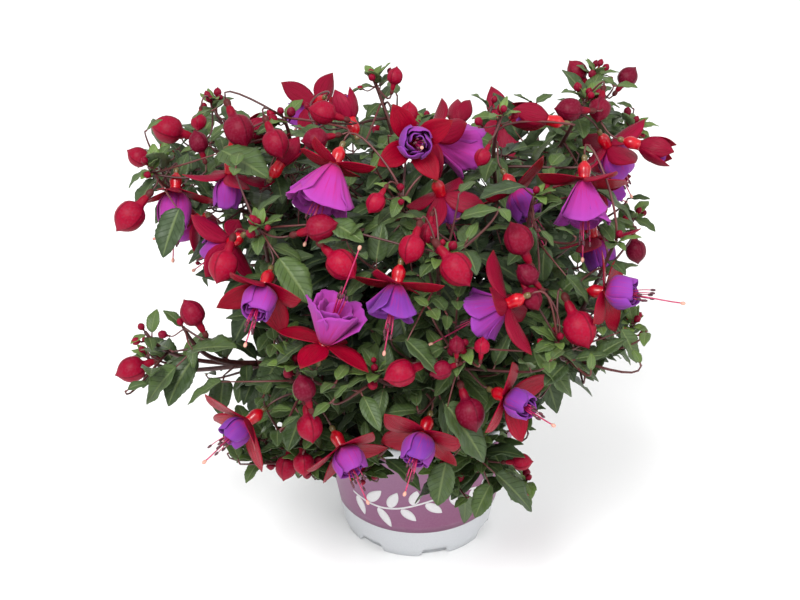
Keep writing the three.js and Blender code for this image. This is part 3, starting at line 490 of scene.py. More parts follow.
def leaf_look():
    """Dark grey-green with a pale midrib and side veins; young leaves are a brighter green."""
    look = Look("leaf", 0.42, specular=0.22)
    across, along, tone, upper = look.paint()
    off = look.math("MULTIPLY", look.math("ABSOLUTE", look.math("SUBTRACT", across, 0.5)), 2)
    midrib = look.ramp(off, 0.02, 0.16, 1, 0)
    phase = look.math("SUBTRACT", look.math("MULTIPLY", along, 8), look.math("MULTIPLY", off, 1.7))
    wave = look.math("SINE", look.math("MULTIPLY", phase, tau))
    veins = look.math("MULTIPLY", look.ramp(wave, 0.72, 1), look.math("SUBTRACT", 1, midrib))
    grain = look.noise(260)
    green = look.mix(tone, (46, 60, 44), (118, 146, 70))
    green = look.wash(green, (92, 108, 84), grain, 0.35, 0.7, 0, 0.35)
    green = look.mix(look.math("MULTIPLY", veins, 0.2), green, (24, 40, 26))
    green = look.mix(look.math("MULTIPLY", midrib, 0.5), green, (128, 144, 92))
    green = look.wash(green, (122, 138, 104), upper, 0, 1, 0.4, 0)
    look.bump(look.math("SUBTRACT", grain, look.math("ADD", veins, midrib)), 0.55)
    return look.done(green, Roughness=look.ramp(grain, 0.3, 0.7, 0.36, 0.52))


def stem_look():
    """Maroon wood, redder where it is young."""
    look = Look("stem", 0.5)
    tone = look.paint()[2]
    grain = look.noise(420, stretch=(1, 1, 0.3))
    bark = look.mix(tone, (66, 28, 34), (118, 48, 50))
    look.bump(grain, 0.4)
    return look.done(look.wash(bark, (98, 62, 50), grain, 0.35, 0.7, 0, 0.5))


def bud_look():
    """Closed sepals: dusty wine to crimson, a fine dark groove along each of the four seams."""
    look = Look("bud", 0.45, specular=0.1)
    seam, along, tone, _ = look.paint()
    dust = look.noise(900, detail=4)
    veins = look.streaks((5, 30, 5))
    red = look.mix(tone, (98, 10, 40), (176, 12, 52))
    red = look.wash(red, (150, 62, 86), dust, 0.42, 0.72, 0, 0.3)
    red = look.wash(red, (92, 12, 32), veins, 0.55, 0.75, 0, 0.3)
    red = look.wash((70, 8, 26), red, seam, 0.02, 0.14, 0.45, 1)
    red = look.wash(red, (96, 52, 48), along, 0.9, 1, 0, 0.5)
    red = look.wash(red, (140, 10, 38), along, 0.28, 0.4, 0.8, 0)
    red = look.wash(red, (92, 44, 44), along, 0.16, 0.24, 1, 0)
    look.bump(dust, 0.25)
    return look.done(red, Roughness=look.ramp(dust, 0.3, 0.7, 0.38, 0.52))


def calyx_look():
    """The tube above the sepals: glossy bright red below a green ovary."""
    look = Look("calyx", 0.28, specular=0.3, coat=0.2)
    along = look.paint()[1]
    grain = look.noise(300)
    red = look.wash((206, 10, 34), (176, 8, 40), grain, 0.35, 0.7)
    look.bump(grain, 0.2)
    return look.done(look.wash(red, (112, 96, 58), along, 0.3, 0.44, 1, 0))


def sepal_look():
    """Glossy crimson inside, duller rose-crimson outside, with fine lengthwise veins."""
    look = Look("sepal", 0.38, specular=0.1)
    _, along, tone, upper = look.paint()
    veins = look.streaks((34, 2.4, 9))
    inside = look.mix(tone, (142, 4, 38), (178, 10, 50))
    outside = look.mix(tone, (134, 10, 44), (166, 24, 64))
    red = look.mix(upper, outside, inside)
    red = look.wash(red, (100, 2, 26), veins, 0.46, 0.7, 0, 0.6)
    red = look.wash(red, (150, 60, 52), along, 0.86, 1, 0, 0.4)
    look.bump(veins, 0.8)
    return look.done(red)


def petal_look():
    """Velvety violet to magenta, with rose veins that spread from the base."""
    look = Look("petal", 0.5, specular=0.05, sheen=0.06)
    _, along, tone, _ = look.paint()
    veins = look.streaks((26, 1.6, 5))
    violet = look.mix(tone, (120, 56, 154), (190, 62, 160))
    violet = look.wash(violet, (150, 80, 190), along, 0.6, 1, 0, 0.3)
    violet = look.wash(violet, (206, 46, 118), along, 0, 0.4, 0.85, 0)
    lines = look.math("MULTIPLY", look.ramp(veins, 0.52, 0.68), look.ramp(along, 0.2, 0.95, 0.7, 0.1))
    look.bump(veins, 0.5)
    return look.done(look.mix(lines, violet, (196, 34, 112)))


def plain_look(name, low, high, roughness, scale, strength, coat=0):
    """One material of two close colours in soft patches, with a fine grain in its surface."""
    look = Look(name, roughness, coat=coat)
    grain = look.noise(scale, detail=5)
    look.bump(grain, strength)
    return look.done(look.wash(low, high, grain, 0.3, 0.7))


def label_look():
    """A mauve film with painted shade, so that it is redder and darker low down on the right."""
    look = Look("label_film", 0.38, coat=0.15)
    x, _, z = look.node("SeparateXYZ", {0: look.place()}).node.outputs
    # painted shade: the film is mixed darker and redder low down and towards the right
    low, right = look.ramp(z, 0.02, 0.08, 1, 0), look.ramp(x, -0.05, 0.05)
    painted_shade_lower_right = look.math("MULTIPLY", look.math("ADD", low, right), 0.5)
    mauve = look.mix(painted_shade_lower_right, (152, 98, 140), (132, 58, 104))
    grain = look.noise(900)
    look.bump(grain, 0.08)
    return look.done(look.wash(mauve, (176, 130, 162), grain, 0.4, 0.7, 0, 0.12))


PLAIN_LOOKS = {
    "filament": ((178, 16, 82), (206, 36, 104), 0.4, 500, 0.1),
    "anther": ((70, 26, 44), (112, 60, 70), 0.7, 1500, 0.6),
    "stigma": ((226, 176, 150), (232, 150, 140), 0.5, 900, 0.3),
    "pot_plastic": ((216, 219, 224), (224, 227, 231), 0.34, 1600, 0.05, 0.1),
    "label_print": ((236, 232, 236), (242, 240, 242), 0.4, 900, 0.05, 0.1),
    "soil": ((30, 20, 15), (78, 56, 42), 0.92, 700, 1),
}
LOOKS = {name: plain_look(name, *values) for name, values in PLAIN_LOOKS.items()}
LOOKS |= {"leaf": leaf_look(), "stem": stem_look(), "bud": bud_look(), "calyx": calyx_look(),
          "sepal": sepal_look(), "petal": petal_look(), "label_film": label_look()}

# Forms of the plant. How finely a leaf is drawn: rows along it, columns across it, its thickness;
# its stalk and its teeth, as shares of its length and half width.

LEAF_FINENESS = {"large": (21, 7, 0.5), "small": (9, 5, 0.4), "hidden": (6, 3, 0.4)}
LEAF_STALK, LEAF_TOOTH = 0.14, 0.06


def blade_width(s):
    """The half width of a leaf from its stalk to its tip, as a share of the greatest."""
    swell, taper = 0.6, 0.85
    greatest = swell ** swell * taper ** taper / (swell + taper) ** (swell + taper)
    return s ** swell * (1 - s) ** taper / greatest


def add_leaf(gather, root, base, along, length, width, bend, tone, kind="small"):
    """A leaf on its stalk, raised along both edges, its edges rippled, arching down to its tip."""
    rows, columns, thickness = LEAF_FINENESS[kind]
    side, top = square_to(along)
    side = unit(side + top * uniform(-0.25, 0.25))
    side = unit(side - along * side.dot(along))
    top = np.cross(along, side)
    s = np.linspace(0, 1, rows)
    u = np.linspace(-1, 1, columns)
    angle = bend * (LEAF_STALK + (1 - LEAF_STALK) * s)
    ahead, drop = np.sin(angle) / bend, (1 - np.cos(angle)) / bend
    middle = base + length * (ahead[:, None] * along - drop[:, None] * top)
    normal = turned(angle, top, along)
    half = np.maximum(0.5 * width * blade_width(s), 0.35)
    if kind == "large":
        half = half * (1 + LEAF_TOOTH * (np.arange(rows) % 2) * (s < 0.97))
    left, right = uniform(0, tau, 2)
    waves = np.sin(tau * 2.1 * s[:, None] + np.where(u > 0, left, right)[None, :])
    ripple = 0.03 * length * waves * u ** 2 * (s * (1 - s) * 4)[:, None]
    raised = 0.26 * half[:, None] * np.abs(u) ** 1.3 + ripple
    grid = middle[:, None] + side * (half[:, None] * u)[..., None]
    grid = grid + normal[:, None] * raised[..., None]
    gather.sheet(grid, thickness * (1 - 0.5 * np.abs(u)), "leaf", tone)
    sag = 0.5 * (root + middle[0]) - 0.02 * length * UP
    gather.tube([root, sag, middle[1]], [0.6, 0.5, 0.3], 5, "stem", 0.7)


# A bud's reach along its axis and its radius there, in widths: ovary, neck, swollen sepals, point

BUD_PROFILE = [(-1.2, 0.05), (-1.13, 0.11), (-1.04, 0.135), (-0.95, 0.115), (-0.9, 0.09), (-0.84, 0.125),
               (-0.7, 0.155), (-0.58, 0.155), (-0.5, 0.19), (-0.45, 0.28), (-0.39, 0.37), (-0.28, 0.455),
               (-0.12, 0.495), (0.04, 0.5), (0.2, 0.47), (0.33, 0.4), (0.43, 0.31), (0.51, 0.21),
               (0.57, 0.12), (0.62, 0.06), (0.68, 0.01)]


def add_turned(gather, at, way, profile, scale, sides, look, tone, ridge=0.0):
    """A round body whose profile gives a reach along its axis and a radius there, both to scale."""
    points = [at + way * scale * reach for reach, _ in profile]
    gather.tube(points, [scale * radius for _, radius in profile], sides, look, tone, ridge)


def add_bud(gather, at, tip, width, tone, small=False):
    profile = BUD_PROFILE[::2] if small else BUD_PROFILE
    add_turned(gather, at, tip, profile, width, 12 if small else 24, "bud", tone, ridge=0.07)


def add_stalk(gather, start, end, leaving, arriving, radius=0.6, tone=0.5):
    """A thin stalk that leaves one place and arrives at another along the ways given."""
    reach = 0.35 * norm(end - start)
    points = bezier((start, start + leaving * reach, end - arriving * reach, end), 8)
    gather.tube(points, np.linspace(radius, 0.8 * radius, 8), 6, "stem", tone)


# Profiles of a bloom's ovary and tube, anthers and stigma: how far along the axis, and how wide.
# The half widths of its sepals are shares of their length.

CALYX_PROFILE = [(-12.5, 0.8), (-11.9, 1.3), (-11, 1.55), (-10, 1.4), (-9.3, 1.15), (-8.8, 1.5),
                 (-7.8, 2.5), (-6.4, 3.2), (-4.8, 3.3), (-3, 2.95), (-1.4, 2.75), (0, 3.0)]
SEPAL_WIDTHS = [(0, 0.1), (0.1, 0.17), (0.25, 0.25), (0.4, 0.285), (0.55, 0.28), (0.7, 0.235),
                (0.84, 0.145), (0.95, 0.05), (1, 0.008)]
ANTHER_PROFILE = [(-0.4, 0.2), (0.1, 0.55), (1.1, 0.65), (2.0, 0.45), (2.3, 0.1)]
STIGMA_PROFILE = [(-0.8, 0.3), (-0.2, 0.75), (0.7, 0.95), (1.5, 0.75), (1.9, 0.2)]

Bloom = namedtuple("Bloom", "throat facing sepal opening corolla rim roll kind style", defaults=(None,))


def sepal_way(bloom, k):
    """The way out from a bloom's axis on which one of its four sepals stands."""
    return round_about(bloom.facing, bloom.roll + 45 + 90 * k)


def sepal_tips(bloom):
    """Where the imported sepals' tips are, by the source's own rule."""
    tips = []
    for k in range(4):
        out = sepal_way(bloom, k)
        place = bloom.throat + bloom.facing * SEPAL["seat"] + out * SEPAL["corner"] * cos(pi / 4)
        before = 0
        for t in SEPAL["joints"]:
            angle = radians(bloom.opening + SEPAL_CURL["open"] * (t - SEPAL["pivot"]))
            way = out * sin(angle) + bloom.facing * cos(angle)
            place = place + way * bloom.sepal * (t - before)
            before = t
        tips.append(place)
    return tips


def add_calyx(gather, bloom):
    """Ovary, tube and four spread sepals, each of which starts a little out from the throat."""
    out_from_axis, above_throat, thickness = 2.2, 0.6, 0.9
    tone = uniform(0.2, 0.8)
    add_turned(gather, bloom.throat, bloom.facing, CALYX_PROFILE, 1, 16, "calyx", tone)
    curl = SEPAL_CURL["open" if bloom.opening > HALF_OPEN else "closed"]
    t = np.linspace(0, 1, 13)
    u = np.linspace(-1, 1, 7)
    for k in range(4):
        out = sepal_way(bloom, k)
        angle = np.radians(bloom.opening + (curl + uniform(-8, 8)) * (t - 0.23))
        forward = turned(angle, bloom.facing, out)
        outer = turned(angle, out, -bloom.facing)
        steps = np.vstack([np.zeros(3), forward[1:] * (bloom.sepal / (len(t) - 1))])
        start = bloom.throat + out * out_from_axis - bloom.facing * above_throat
        middle = start + np.cumsum(steps, axis=0)
        half = bloom.sepal * np.interp(t, *zip(*SEPAL_WIDTHS))[:, None]
        lift = uniform(0.05, 0.3) * half * u ** 2
        twist = uniform(-0.45, 0.45) * (0.3 + 0.7 * t[:, None]) * half * u
        grid = middle[:, None] + np.cross(bloom.facing, out) * (half * u)[..., None]
        grid = grid - outer[:, None] * (lift + twist)[..., None]
        gather.sheet(grid, thickness * (1 - 0.55 * np.abs(u)) * (1 - 0.5 * t)[:, None], "sepal", tone)


def bell_radius(d, rim, kind):
    """How wide the petals stand at a share of their length: a skirt flares, a barrel closes."""
    neck = 2.3
    if kind == "skirt":
        return neck + (rim - neck) * d ** 0.8 + 0.06 * rim * d ** 8
    swell = np.sin(0.5 * pi * np.minimum(1, d / 0.5)) ** 0.8
    return neck + (rim - neck) * swell - 0.2 * rim * np.maximum(0, 2 * d - 1) ** 1.6


def add_petal(gather, bloom, first_turn, share, reach, tone):
    """One petal of a whorl that is a share as wide as the bell and reaches a share of its length."""
    d = np.linspace(0, 1, 13)[:, None]
    u = np.linspace(0, 1, 15)[None, :]
    side, top = square_to(bloom.facing)
    pleats, scallop = (0.05, 0.3) if bloom.kind == "skirt" else (0.012, 0.2)
    span, overlap, thickness = 118, 1.1, 0.45
    turn = np.radians(first_turn + uniform(-6, 6) + span * u)
    end = 1 - scallop * np.abs(2 * u - 1) ** 2.6 + 0.02 * np.sin(9 * u + uniform(0, 6))
    distance = GAP + bloom.corolla * reach * end * d
    tuck = (overlap - 2 * overlap * u) * np.minimum(1, 0.2 + d)
    wave = np.sin(tau * (1.5 * u + uniform(0, 1)))
    folds = np.sin(tau * (5 * u + uniform(0, 1)))
    radius = bell_radius(d, share * bloom.rim, bloom.kind) + tuck
    radius = radius + share * bloom.rim * (0.09 * wave * d ** 3 + pleats * folds * d)
    out = turned(turn, side, top)
    grid = bloom.throat + distance[..., None] * bloom.facing + radius[..., None] * out
    gather.sheet(grid, thickness, "petal", float(np.clip(tone + uniform(-0.15, 0.15), 0, 1)))


def add_corolla(gather, bloom, tone):
    """Overlapping petals in a bell, a smaller whorl inside them."""
    for layer, (share, reach) in enumerate(((1.0, 1.0), (0.6, 0.93))):
        for k in range(4):
            add_petal(gather, bloom, bloom.roll + 30 + 45 * layer + 90 * k, share, reach, tone)


def add_thread(gather, bloom, length, lean, drop, radius, sides):
    """A filament or the style, from the throat; returns its end and the way that it runs there."""
    throat, facing = bloom.throat, bloom.facing
    end = throat + facing * length + lean - UP * drop
    before_end = end - facing * 0.3 * length + UP * drop * 0.2
    points = bezier((throat, throat + facing * 0.4 * length, before_end, end), 8)
    gather.tube(points, np.full(8, radius), sides, "filament", 0.5)
    return end, unit(points[-1] - points[-2])


def add_stamens(gather, bloom):
    for k in range(8):
        lean = round_about(bloom.facing, 45 * k + uniform(-20, 20)) * uniform(1, 3.6)
        length = bloom.corolla + uniform(1, 8)
        end, way = add_thread(gather, bloom, length, lean, 0.05 * length, 0.24, 5)
        add_turned(gather, end, way, ANTHER_PROFILE, 1, 6, "anther", 0.5)
    end, way = add_thread(gather, bloom, bloom.style, 0 * UP, 0.1 * bloom.style, 0.36, 6)
    add_turned(gather, end, way, STIGMA_PROFILE, 1, 8, "stigma", 0.5)


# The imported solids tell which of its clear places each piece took. A leaf whose tip misses them
# by more than this was left out.

FOUND = 0.3


class Packed:
    """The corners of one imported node."""

    def __init__(self, node):
        self.points = np.array([v.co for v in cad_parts[node].data.vertices]) / MM

    def miss(self, point, radius=0.0, count=1):
        """How far the nearest of the node's corners are from lying at a distance from a point."""
        distance = np.sort(norm(self.points - point, axis=1))[:count]
        return float(np.abs(distance - radius).sum())


def best(tries):
    """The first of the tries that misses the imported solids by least; each starts with its miss."""
    return min(tries, key=lambda one: one[0])


packed = {name: Packed(name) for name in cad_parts}
gathers = {name: Gather() for name, *_ in BRANCHES}

# Stems and shoots


def shoot_corners(start, way, tip):
    end = vec(tip)
    reach = norm(end - start)
    outward = unit(vec((end[0], end[1], 0)))
    finish = unit(outward * 0.35 + UP * 0.9)
    return start, start + way * 0.35 * reach, end - finish * 0.3 * reach, end


class Shoot:
    """A stem or side shoot: the straight pieces of its solid and the round curve drawn here."""

    def __init__(self, branch, corners, form, pairs, seed):
        self.gather = gathers[branch]
        self.solid = packed[branch]
        self.points = bezier(corners, form["steps"] + 1)
        self.fine = bezier(corners, 25)
        self.form = form
        self.pairs = pairs
        self.seed = seed

    def near(self, point):
        """The place on the round stem that is nearest to a point."""
        return self.fine[np.argmin(norm(self.fine - point, axis=1))]


shoots = []
stem_feet = []
for number, (branch, turn, tip, pairs, side_shoots) in enumerate(BRANCHES, 1):
    angle = radians(turn)
    across = (STEM["ring"] * cos(angle), STEM["ring"] * sin(angle))
    foot = vec((*across, SOIL["top"] - STEM["foot"]))
    start = foot + UP * (STEM["foot"] + SOIL["crown"])
    stem_feet.append((branch, foot))
    main = Shoot(branch, shoot_corners(start, UP, tip), STEM, pairs, 100 * number)
    shoots.append(main)
    for s, (share, side_tip, side_pairs) in enumerate(side_shoots, 1):
        corners = shoot_corners(*along_points(main.points, share), side_tip)
        shoots.append(Shoot(branch, corners, SIDE_SHOOT, side_pairs, main.seed + s))


def nearest_on_shoots(point, count):
    """The nearest shoots, each with its nearest place above its foot and how far that is."""
    found = []
    for shoot in shoots:
        places = [along_points(shoot.points, i / 20)[0] for i in range(4, 21)]
        distances = [norm(place - point) for place in places]
        least = min(distances)
        found.append((shoot, places[distances.index(least)], least))
    return sorted(found, key=lambda one: one[2])[:count]


def pedicel_corners(start, end, facing, arch):
    reach = norm(end - start)
    rise = start + UP * 0.35 * reach * arch + facing * 0.1 * reach
    return start, rise, end - facing * 0.35 * reach, end - facing * PEDICEL["seat"]


def add_pedicel(bloom, top):
    """The stalk of a bloom, on the shoot that the source chose; returns what gathers that shoot."""
    end = bloom.throat + bloom.facing * top
    tries = []
    for shoot, place, _ in nearest_on_shoots(end, 6):
        for arch in PEDICEL["arches"]:
            corners = pedicel_corners(place, end, bloom.facing, arch)
            tries.append((shoot.solid.miss(bezier(corners, 3)[1], PEDICEL["radius"], 3), shoot, corners))
    _, shoot, corners = best(tries)
    points = np.vstack([bezier((shoot.near(corners[0]), *corners[1:]), 10), end + bloom.facing * 0.3])
    shoot.gather.tube(points, np.linspace(0.62, 0.5, 11), 6, "stem", uniform(0.2, 0.8))
    return shoot.gather


# Blooms, each at the throat and roll, of those that the source tries, where it is packed


def placed_bloom(number, values):
    bloom = Bloom(*values)
    throat = vec(bloom.throat)
    style = bloom.style or bloom.corolla + STYLE_SHOWING
    bloom = bloom._replace(facing=unit(vec(bloom.facing)), style=style)
    tries = []
    for shift in (0, 4, 8, 12):
        for turn in range(0, 90, 15):
            back = vec((0, shift * np.sign(throat[1]), 0))
            tried = bloom._replace(throat=throat - back, roll=bloom.roll + turn)
            solid = packed[f"bloom_{number:02d}_sepals"]
            tries.append((sum(solid.miss(tip) for tip in sepal_tips(tried)), tried))
    return best(tries)[1]


blooms = [placed_bloom(i, values) for i, values in enumerate(BLOOMS, 1)]
for i, bloom in enumerate(blooms, 1):
    add_pedicel(bloom, TUBE_START - GAP)
    calyx = Gather()
    add_calyx(calyx, bloom)
    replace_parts(calyx.make(f"bloom_{i:02d}_calyx", "sepals"), f"bloom_{i:02d}_sepals")
    petals = Gather()
    add_corolla(petals, bloom, uniform(0.75, 0.95) if i in MAGENTA else uniform(0.05, 0.5))
    add_stamens(petals, bloom)
    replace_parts(petals.make(f"bloom_{i:02d}_petals", "petals"), f"bloom_{i:02d}_corolla")

for throat, facing, sepal, opening in OPENING_BLOOMS:
    rim = 7 if opening > HALF_OPEN else 4.2
    bloom = Bloom(vec(throat), unit(vec(facing)), sepal, opening, 0.72 * sepal, rim, 0, "barrel")
    gather = add_pedicel(bloom, TUBE_START + 1)
    add_calyx(gather, bloom)
    add_corolla(gather, bloom, 0.3)

# Large buds


def add_large_bud(at, width, tip=None):
    tries = []
    for shift in (0, 3, 6, 9):
        moved = at + unit(at - CROWN) * shift
        for shoot, place, _ in nearest_on_shoots(at, 6):
            way = unit(vec(tip)) if tip else unit(unit(moved - place) - UP * 0.8)
            neck = moved + way * BUD_REACH["neck"] * width
            middle = 0.5 * (place + neck) - way * 0.25 * norm(neck - place)
            off = shoot.solid.miss(moved + way * BUD_REACH["tip"] * width)
            tries.append((off + shoot.solid.miss(middle, 0.6, 4), shoot, place, moved, way))
    _, shoot, place, at, tip = best(tries)
    add_bud(shoot.gather, at, tip, width, uniform(0.05, 0.85))
    start, neck = shoot.near(place), at - tip * 1.25 * width
    leaving = unit(neck - start - tip * 0.5 * norm(neck - start))
    add_stalk(shoot.gather, start, neck + tip * 0.3, leaving, tip, tone=uniform(0.2, 0.8))


for at, width, *tip in BUDS:
    add_large_bud(vec(at), width, *tip)

# Leaves that stand out


def add_large_leaf(stalk_end, tip_end):
    length = norm(tip_end - stalk_end)
    ahead = unit(tip_end - stalk_end)
    side = square_to(ahead)[0]
    outward = unit(stalk_end - CROWN)
    behind = [(shoot, place) for shoot, place, distance in nearest_on_shoots(stalk_end, 12)
              if distance < LONGEST_STALK and (stalk_end - place).dot(ahead) > 0.05 * distance]
    tries = []
    for out, down, aside in LEAF_SHIFTS:
        base = stalk_end + outward * out
        along = unit(tip_end + outward * out - UP * down + side * aside - base)
        end = leaf_end(base, along, length, LARGE_LEAF_BEND)
        tries += [(5 * shoot.solid.miss(end) + 0.02 * norm(base - place), shoot, place, base, along)
                  for shoot, place in behind]
    _, shoot, place, base, along = best(tries)
    add_leaf(shoot.gather, shoot.near(place), base - along * LEAF_STALK * length, along, length,
             0.5 * length, LARGE_LEAF_BEND, uniform(0.1, 0.4), "large")


for stalk_end, tip_end in LEAVES:
    add_large_leaf(vec(stalk_end), vec(tip_end))

# Pairs of leaves up each shoot, at the places that the source found clear


def add_pair_leaf(shoot, base, way, turn, full, lean, bend, young):
    """One leaf of a pair, turned and shortened as the source did, or none if it left that out."""
    tries = []
    for extra in (0, 25, -25, 50, -50, 75, -75):
        along = unit(round_about(way, turn + extra) + way * lean)
        for length in (full, 0.75 * full):
            tries.append((shoot.solid.miss(leaf_end(base, along, length, bend)), along, length))
    off, along, length = best(tries)
    if off < FOUND:
        tone = 0.15 + 0.35 * young * uniform(0.5, 1.3)
        add_leaf(shoot.gather, shoot.near(base), base, along, length, 0.46 * length, bend, tone, "large")


for shoot in shoots:
    draw = random_stream(shoot.seed)
    first_turn = 360 * draw()
    for p in range(shoot.pairs):
        base, way = along_points(shoot.points, 0.97 - (0.62 * p) / shoot.pairs)
        share = p / (shoot.pairs - 1) if shoot.pairs > 1 else 0.5
        for k in range(2):
            turn = first_turn + 90 * p + 180 * k + 30 * (draw() - 0.5)
            full = (SHORTEST_LEAF + (LONGEST_LEAF - SHORTEST_LEAF) * share) * (0.85 + 0.3 * draw())
            lean = 0.35 + 0.35 * draw()
            bend = 0.3 + 0.6 * draw()
            add_pair_leaf(shoot, base, way, turn, full, lean, bend, 1 - share)

# The stems themselves, each ending in a small bud

for shoot in shoots:
    radii = np.linspace(shoot.form["foot_radius"], shoot.form["tip_radius"], len(shoot.fine))
    shoot.gather.tube(shoot.fine, radii, 8, "stem", 0.15)
    way = unit(shoot.fine[-1] - shoot.fine[-2])
    add_bud(shoot.gather, shoot.fine[-1] + way * 4.2, way, 3.6, 0.4, small=True)
for branch, foot in stem_feet:
    top = foot + UP * (STEM["foot"] + SOIL["crown"] + 1)
    gathers[branch].tube([foot, top], [2.4, 2.3], 8, "stem", 0.0)

# Small leaves and buds fill the bush. They keep clear of the blooms and the large buds, and don't
# stand in front of a bloom that the photograph shows. A bloom or bud is a few spheres here.

spots = []
for bloom in blooms:
    petals = ((0.35 * bloom.corolla, 9), (0.8 * bloom.corolla, bloom.rim + 2))
    spots += [(bloom.throat + bloom.facing * z, radius) for z, radius in ((-8, 4), (-2, 7), *petals)]
    spots += [(0.45 * bloom.throat + 0.55 * tip, 5) for tip in sepal_tips(bloom)]
spots += [(vec(at), 0.5 * width + 1) for at, width, *_ in BUDS]
spot_places = np.array([place for place, _ in spots])
spot_radii = np.array([radius for _, radius in spots])
spot_x, spot_y, spot_depth = in_picture(spot_places)
low, high = (np.array(corner) / MM for corner in cad_box)


def inside_outline(x, y):
    """Whether a place in the picture lies inside the outline, by the crossings to its left."""
    ahead = np.roll(OUTLINE, -1, axis=0)
    spans = (OUTLINE[:, 1] > y) != (ahead[:, 1] > y)
    slope = (ahead[spans, 0] - OUTLINE[spans, 0]) / (ahead[spans, 1] - OUTLINE[spans, 1])
    crossing = OUTLINE[spans, 0] + (y - OUTLINE[spans, 1]) * slope
    return np.count_nonzero(crossing < x) % 2 == 1


def is_kept(x, y):
    """Whether a leaf may stay: some are left out in the thin part of the bush."""
    thin = x < SPARSE["right"] and SPARSE["top"] < y < SPARSE["bottom"]
    return not (thin and uniform() > SPARSE["kept"])


def is_clear(point):
    """Whether a point keeps off the blooms, out of their view, in the box and off the pot."""
    x, y, depth = in_picture(point)
    hidden = np.hypot(spot_x - x, spot_y - y) < spot_radii * FOCAL / spot_depth * 0.7
    return not (np.any(norm(spot_places - point, axis=1) < spot_radii)
                or np.any(hidden & (spot_depth > depth))
                or not inside_outline(x, y)
                or not is_kept(x, y)
                or np.any(point < low - PAST_BOX) or np.any(point > high + PAST_BOX)
                or point[2] < POT["height"] + OFF_POT["above"]
                and hypot(point[0], point[1]) < POT["rim"] + OFF_POT["round"])


def is_free(points):
    return all(is_clear(point) for point in points)


def add_small_leaf(gather, base, along, length, tone):
    """A small leaf where there is room for it; returns whether there is."""
    top = square_to(along)[1]
    bend = uniform(0.2, 0.9)
    samples = [base + along * length * t - top * length * bend * 0.5 * t * t for t in (0.35, 0.7, 1)]
    free = is_free(samples)
    if free:
        add_leaf(gather, base, base, along, length, uniform(0.38, 0.48) * length, bend, tone)
    return free


def add_foliage(gather, points, first, last, longest, shortest, tone):
    """Pairs of leaves along a stem, shorter and brighter towards its tip; returns how far up the
    last one stands."""
    reach = norm(np.diff(points, axis=0), axis=1).sum()
    turn = uniform(0, 360)
    reached = 0
    for t in np.linspace(first, last, max(2, int(reach * (last - first) / LEAF_SPACING))):
        base, way = along_points(points, min(t, 0.999))
        turn += 90 + uniform(-25, 25)
        for k in range(2):
            lean = uniform(0.2, 0.7)
            along = unit(round_about(way, turn + 180 * k + uniform(-20, 20)) + way * lean)
            length = (longest + (shortest - longest) * t) * uniform(0.75, 1.2)
            if add_small_leaf(gather, base, along, length, tone * (0.5 + t) * uniform(0.6, 1.3)):
                reached = t
    return reached


def add_twig(gather, start, way):
    """A leafy twig off a shoot, as long as its last leaf needs."""
    out = unit(vec((start[0], start[1], 0)) + uniform(-12, 12, 3))
    leaving = unit(round_about(way, uniform(0, 360)) + 0.7 * out + 0.3 * way)
    reach = uniform(22, 55)
    end = start + leaving * reach + UP * uniform(-4, 12)
    points = bezier((start, start + leaving * 0.4 * reach, end - UP * 0.2 * reach, end), 9)
    reached = is_free([points[4], end]) and add_foliage(gather, points, 0.3, 1, **TWIG_LEAVES)
    if reached:
        leafy = [along_points(points, min(reached, 0.999) * t)[0] for t in np.linspace(0, 1, 9)]
        gather.tube(leafy, np.linspace(0.85, 0.4, 9), 6, "stem", 0.3)


def add_tip(gather, end, way):
    """The young leaves and buds at the end of a shoot."""
    for k in range(TIP_LEAVES):
        turn = 360 / TIP_LEAVES * k + uniform(-20, 20)
        along = unit(round_about(way, turn) + way * uniform(0.6, 1.8))
        base = end - way * uniform(0, 5)
        add_small_leaf(gather, base, along, uniform(9, 17), uniform(0.6, 1.1))
    for k in range(TIP_BUDS):
        turn = 360 / TIP_BUDS * k + uniform(-40, 40)
        out = unit(round_about(way, turn) + way * uniform(0.2, 1.2))
        start = end - way * uniform(0, 8)
        width = uniform(2.6, 5)
        at = start + out * uniform(6, 12)
        if is_free([at]):
            tip = unit(out + way * 0.8)
            add_bud(gather, at, tip, width, uniform(0.1, 0.7), small=True)
            add_stalk(gather, start, at - tip * 1.2 * width, out, tip, radius=0.4, tone=0.7)


for shoot in shoots:
    first_leaf, twigs = (0.15, 20) if shoot.form is STEM else (0.1, 8)
    add_foliage(shoot.gather, shoot.fine, first_leaf, 0.98, **STEM_LEAVES)
    for t in np.linspace(0.14, 0.92, twigs):
        add_twig(shoot.gather, *along_points(shoot.fine, t))
    add_tip(shoot.gather, shoot.fine[-1], unit(shoot.fine[-1] - shoot.fine[-3]))

# Large dark leaves deep in the bush, each on a stalk from the nearest stem

stem_places = np.concatenate([shoot.fine for shoot in shoots])
stem_gathers = [shoot.gather for shoot in shoots for _ in shoot.fine]

for _ in range(HEART["leaves"]):
    out = unit(rng.normal(size=3))
    base = vec(HEART["centre"]) + out * vec(HEART["reach"]) * uniform(0.25, 1)
    distances = norm(stem_places - base, axis=1)
    near = distances.argmin()
    along = unit(out + uniform(-0.9, 0.9, 3) - 0.2 * UP)
    length = uniform(26, 36)
    if distances[near] < HEART["longest_stalk"] and is_free([base, base + along * length]):
        add_leaf(stem_gathers[near], stem_places[near], base, along, length, 0.46 * length,
                 0.5, uniform(0, 0.12), "hidden")

for name, gather in gathers.items():
    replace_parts(gather.make(name.replace("branch", "foliage"), "foliage"), name)

# Pot: its outline runs from the middle of the underside, round the rim, to the floor inside


def pot_radius(z):
    return POT["foot"] + (POT["rim"] - POT["foot"]) * z / POT["height"]


def around(radius, z, turn):
    return np.stack(np.broadcast_arrays(radius * np.cos(turn), radius * np.sin(turn), z), axis=-1)


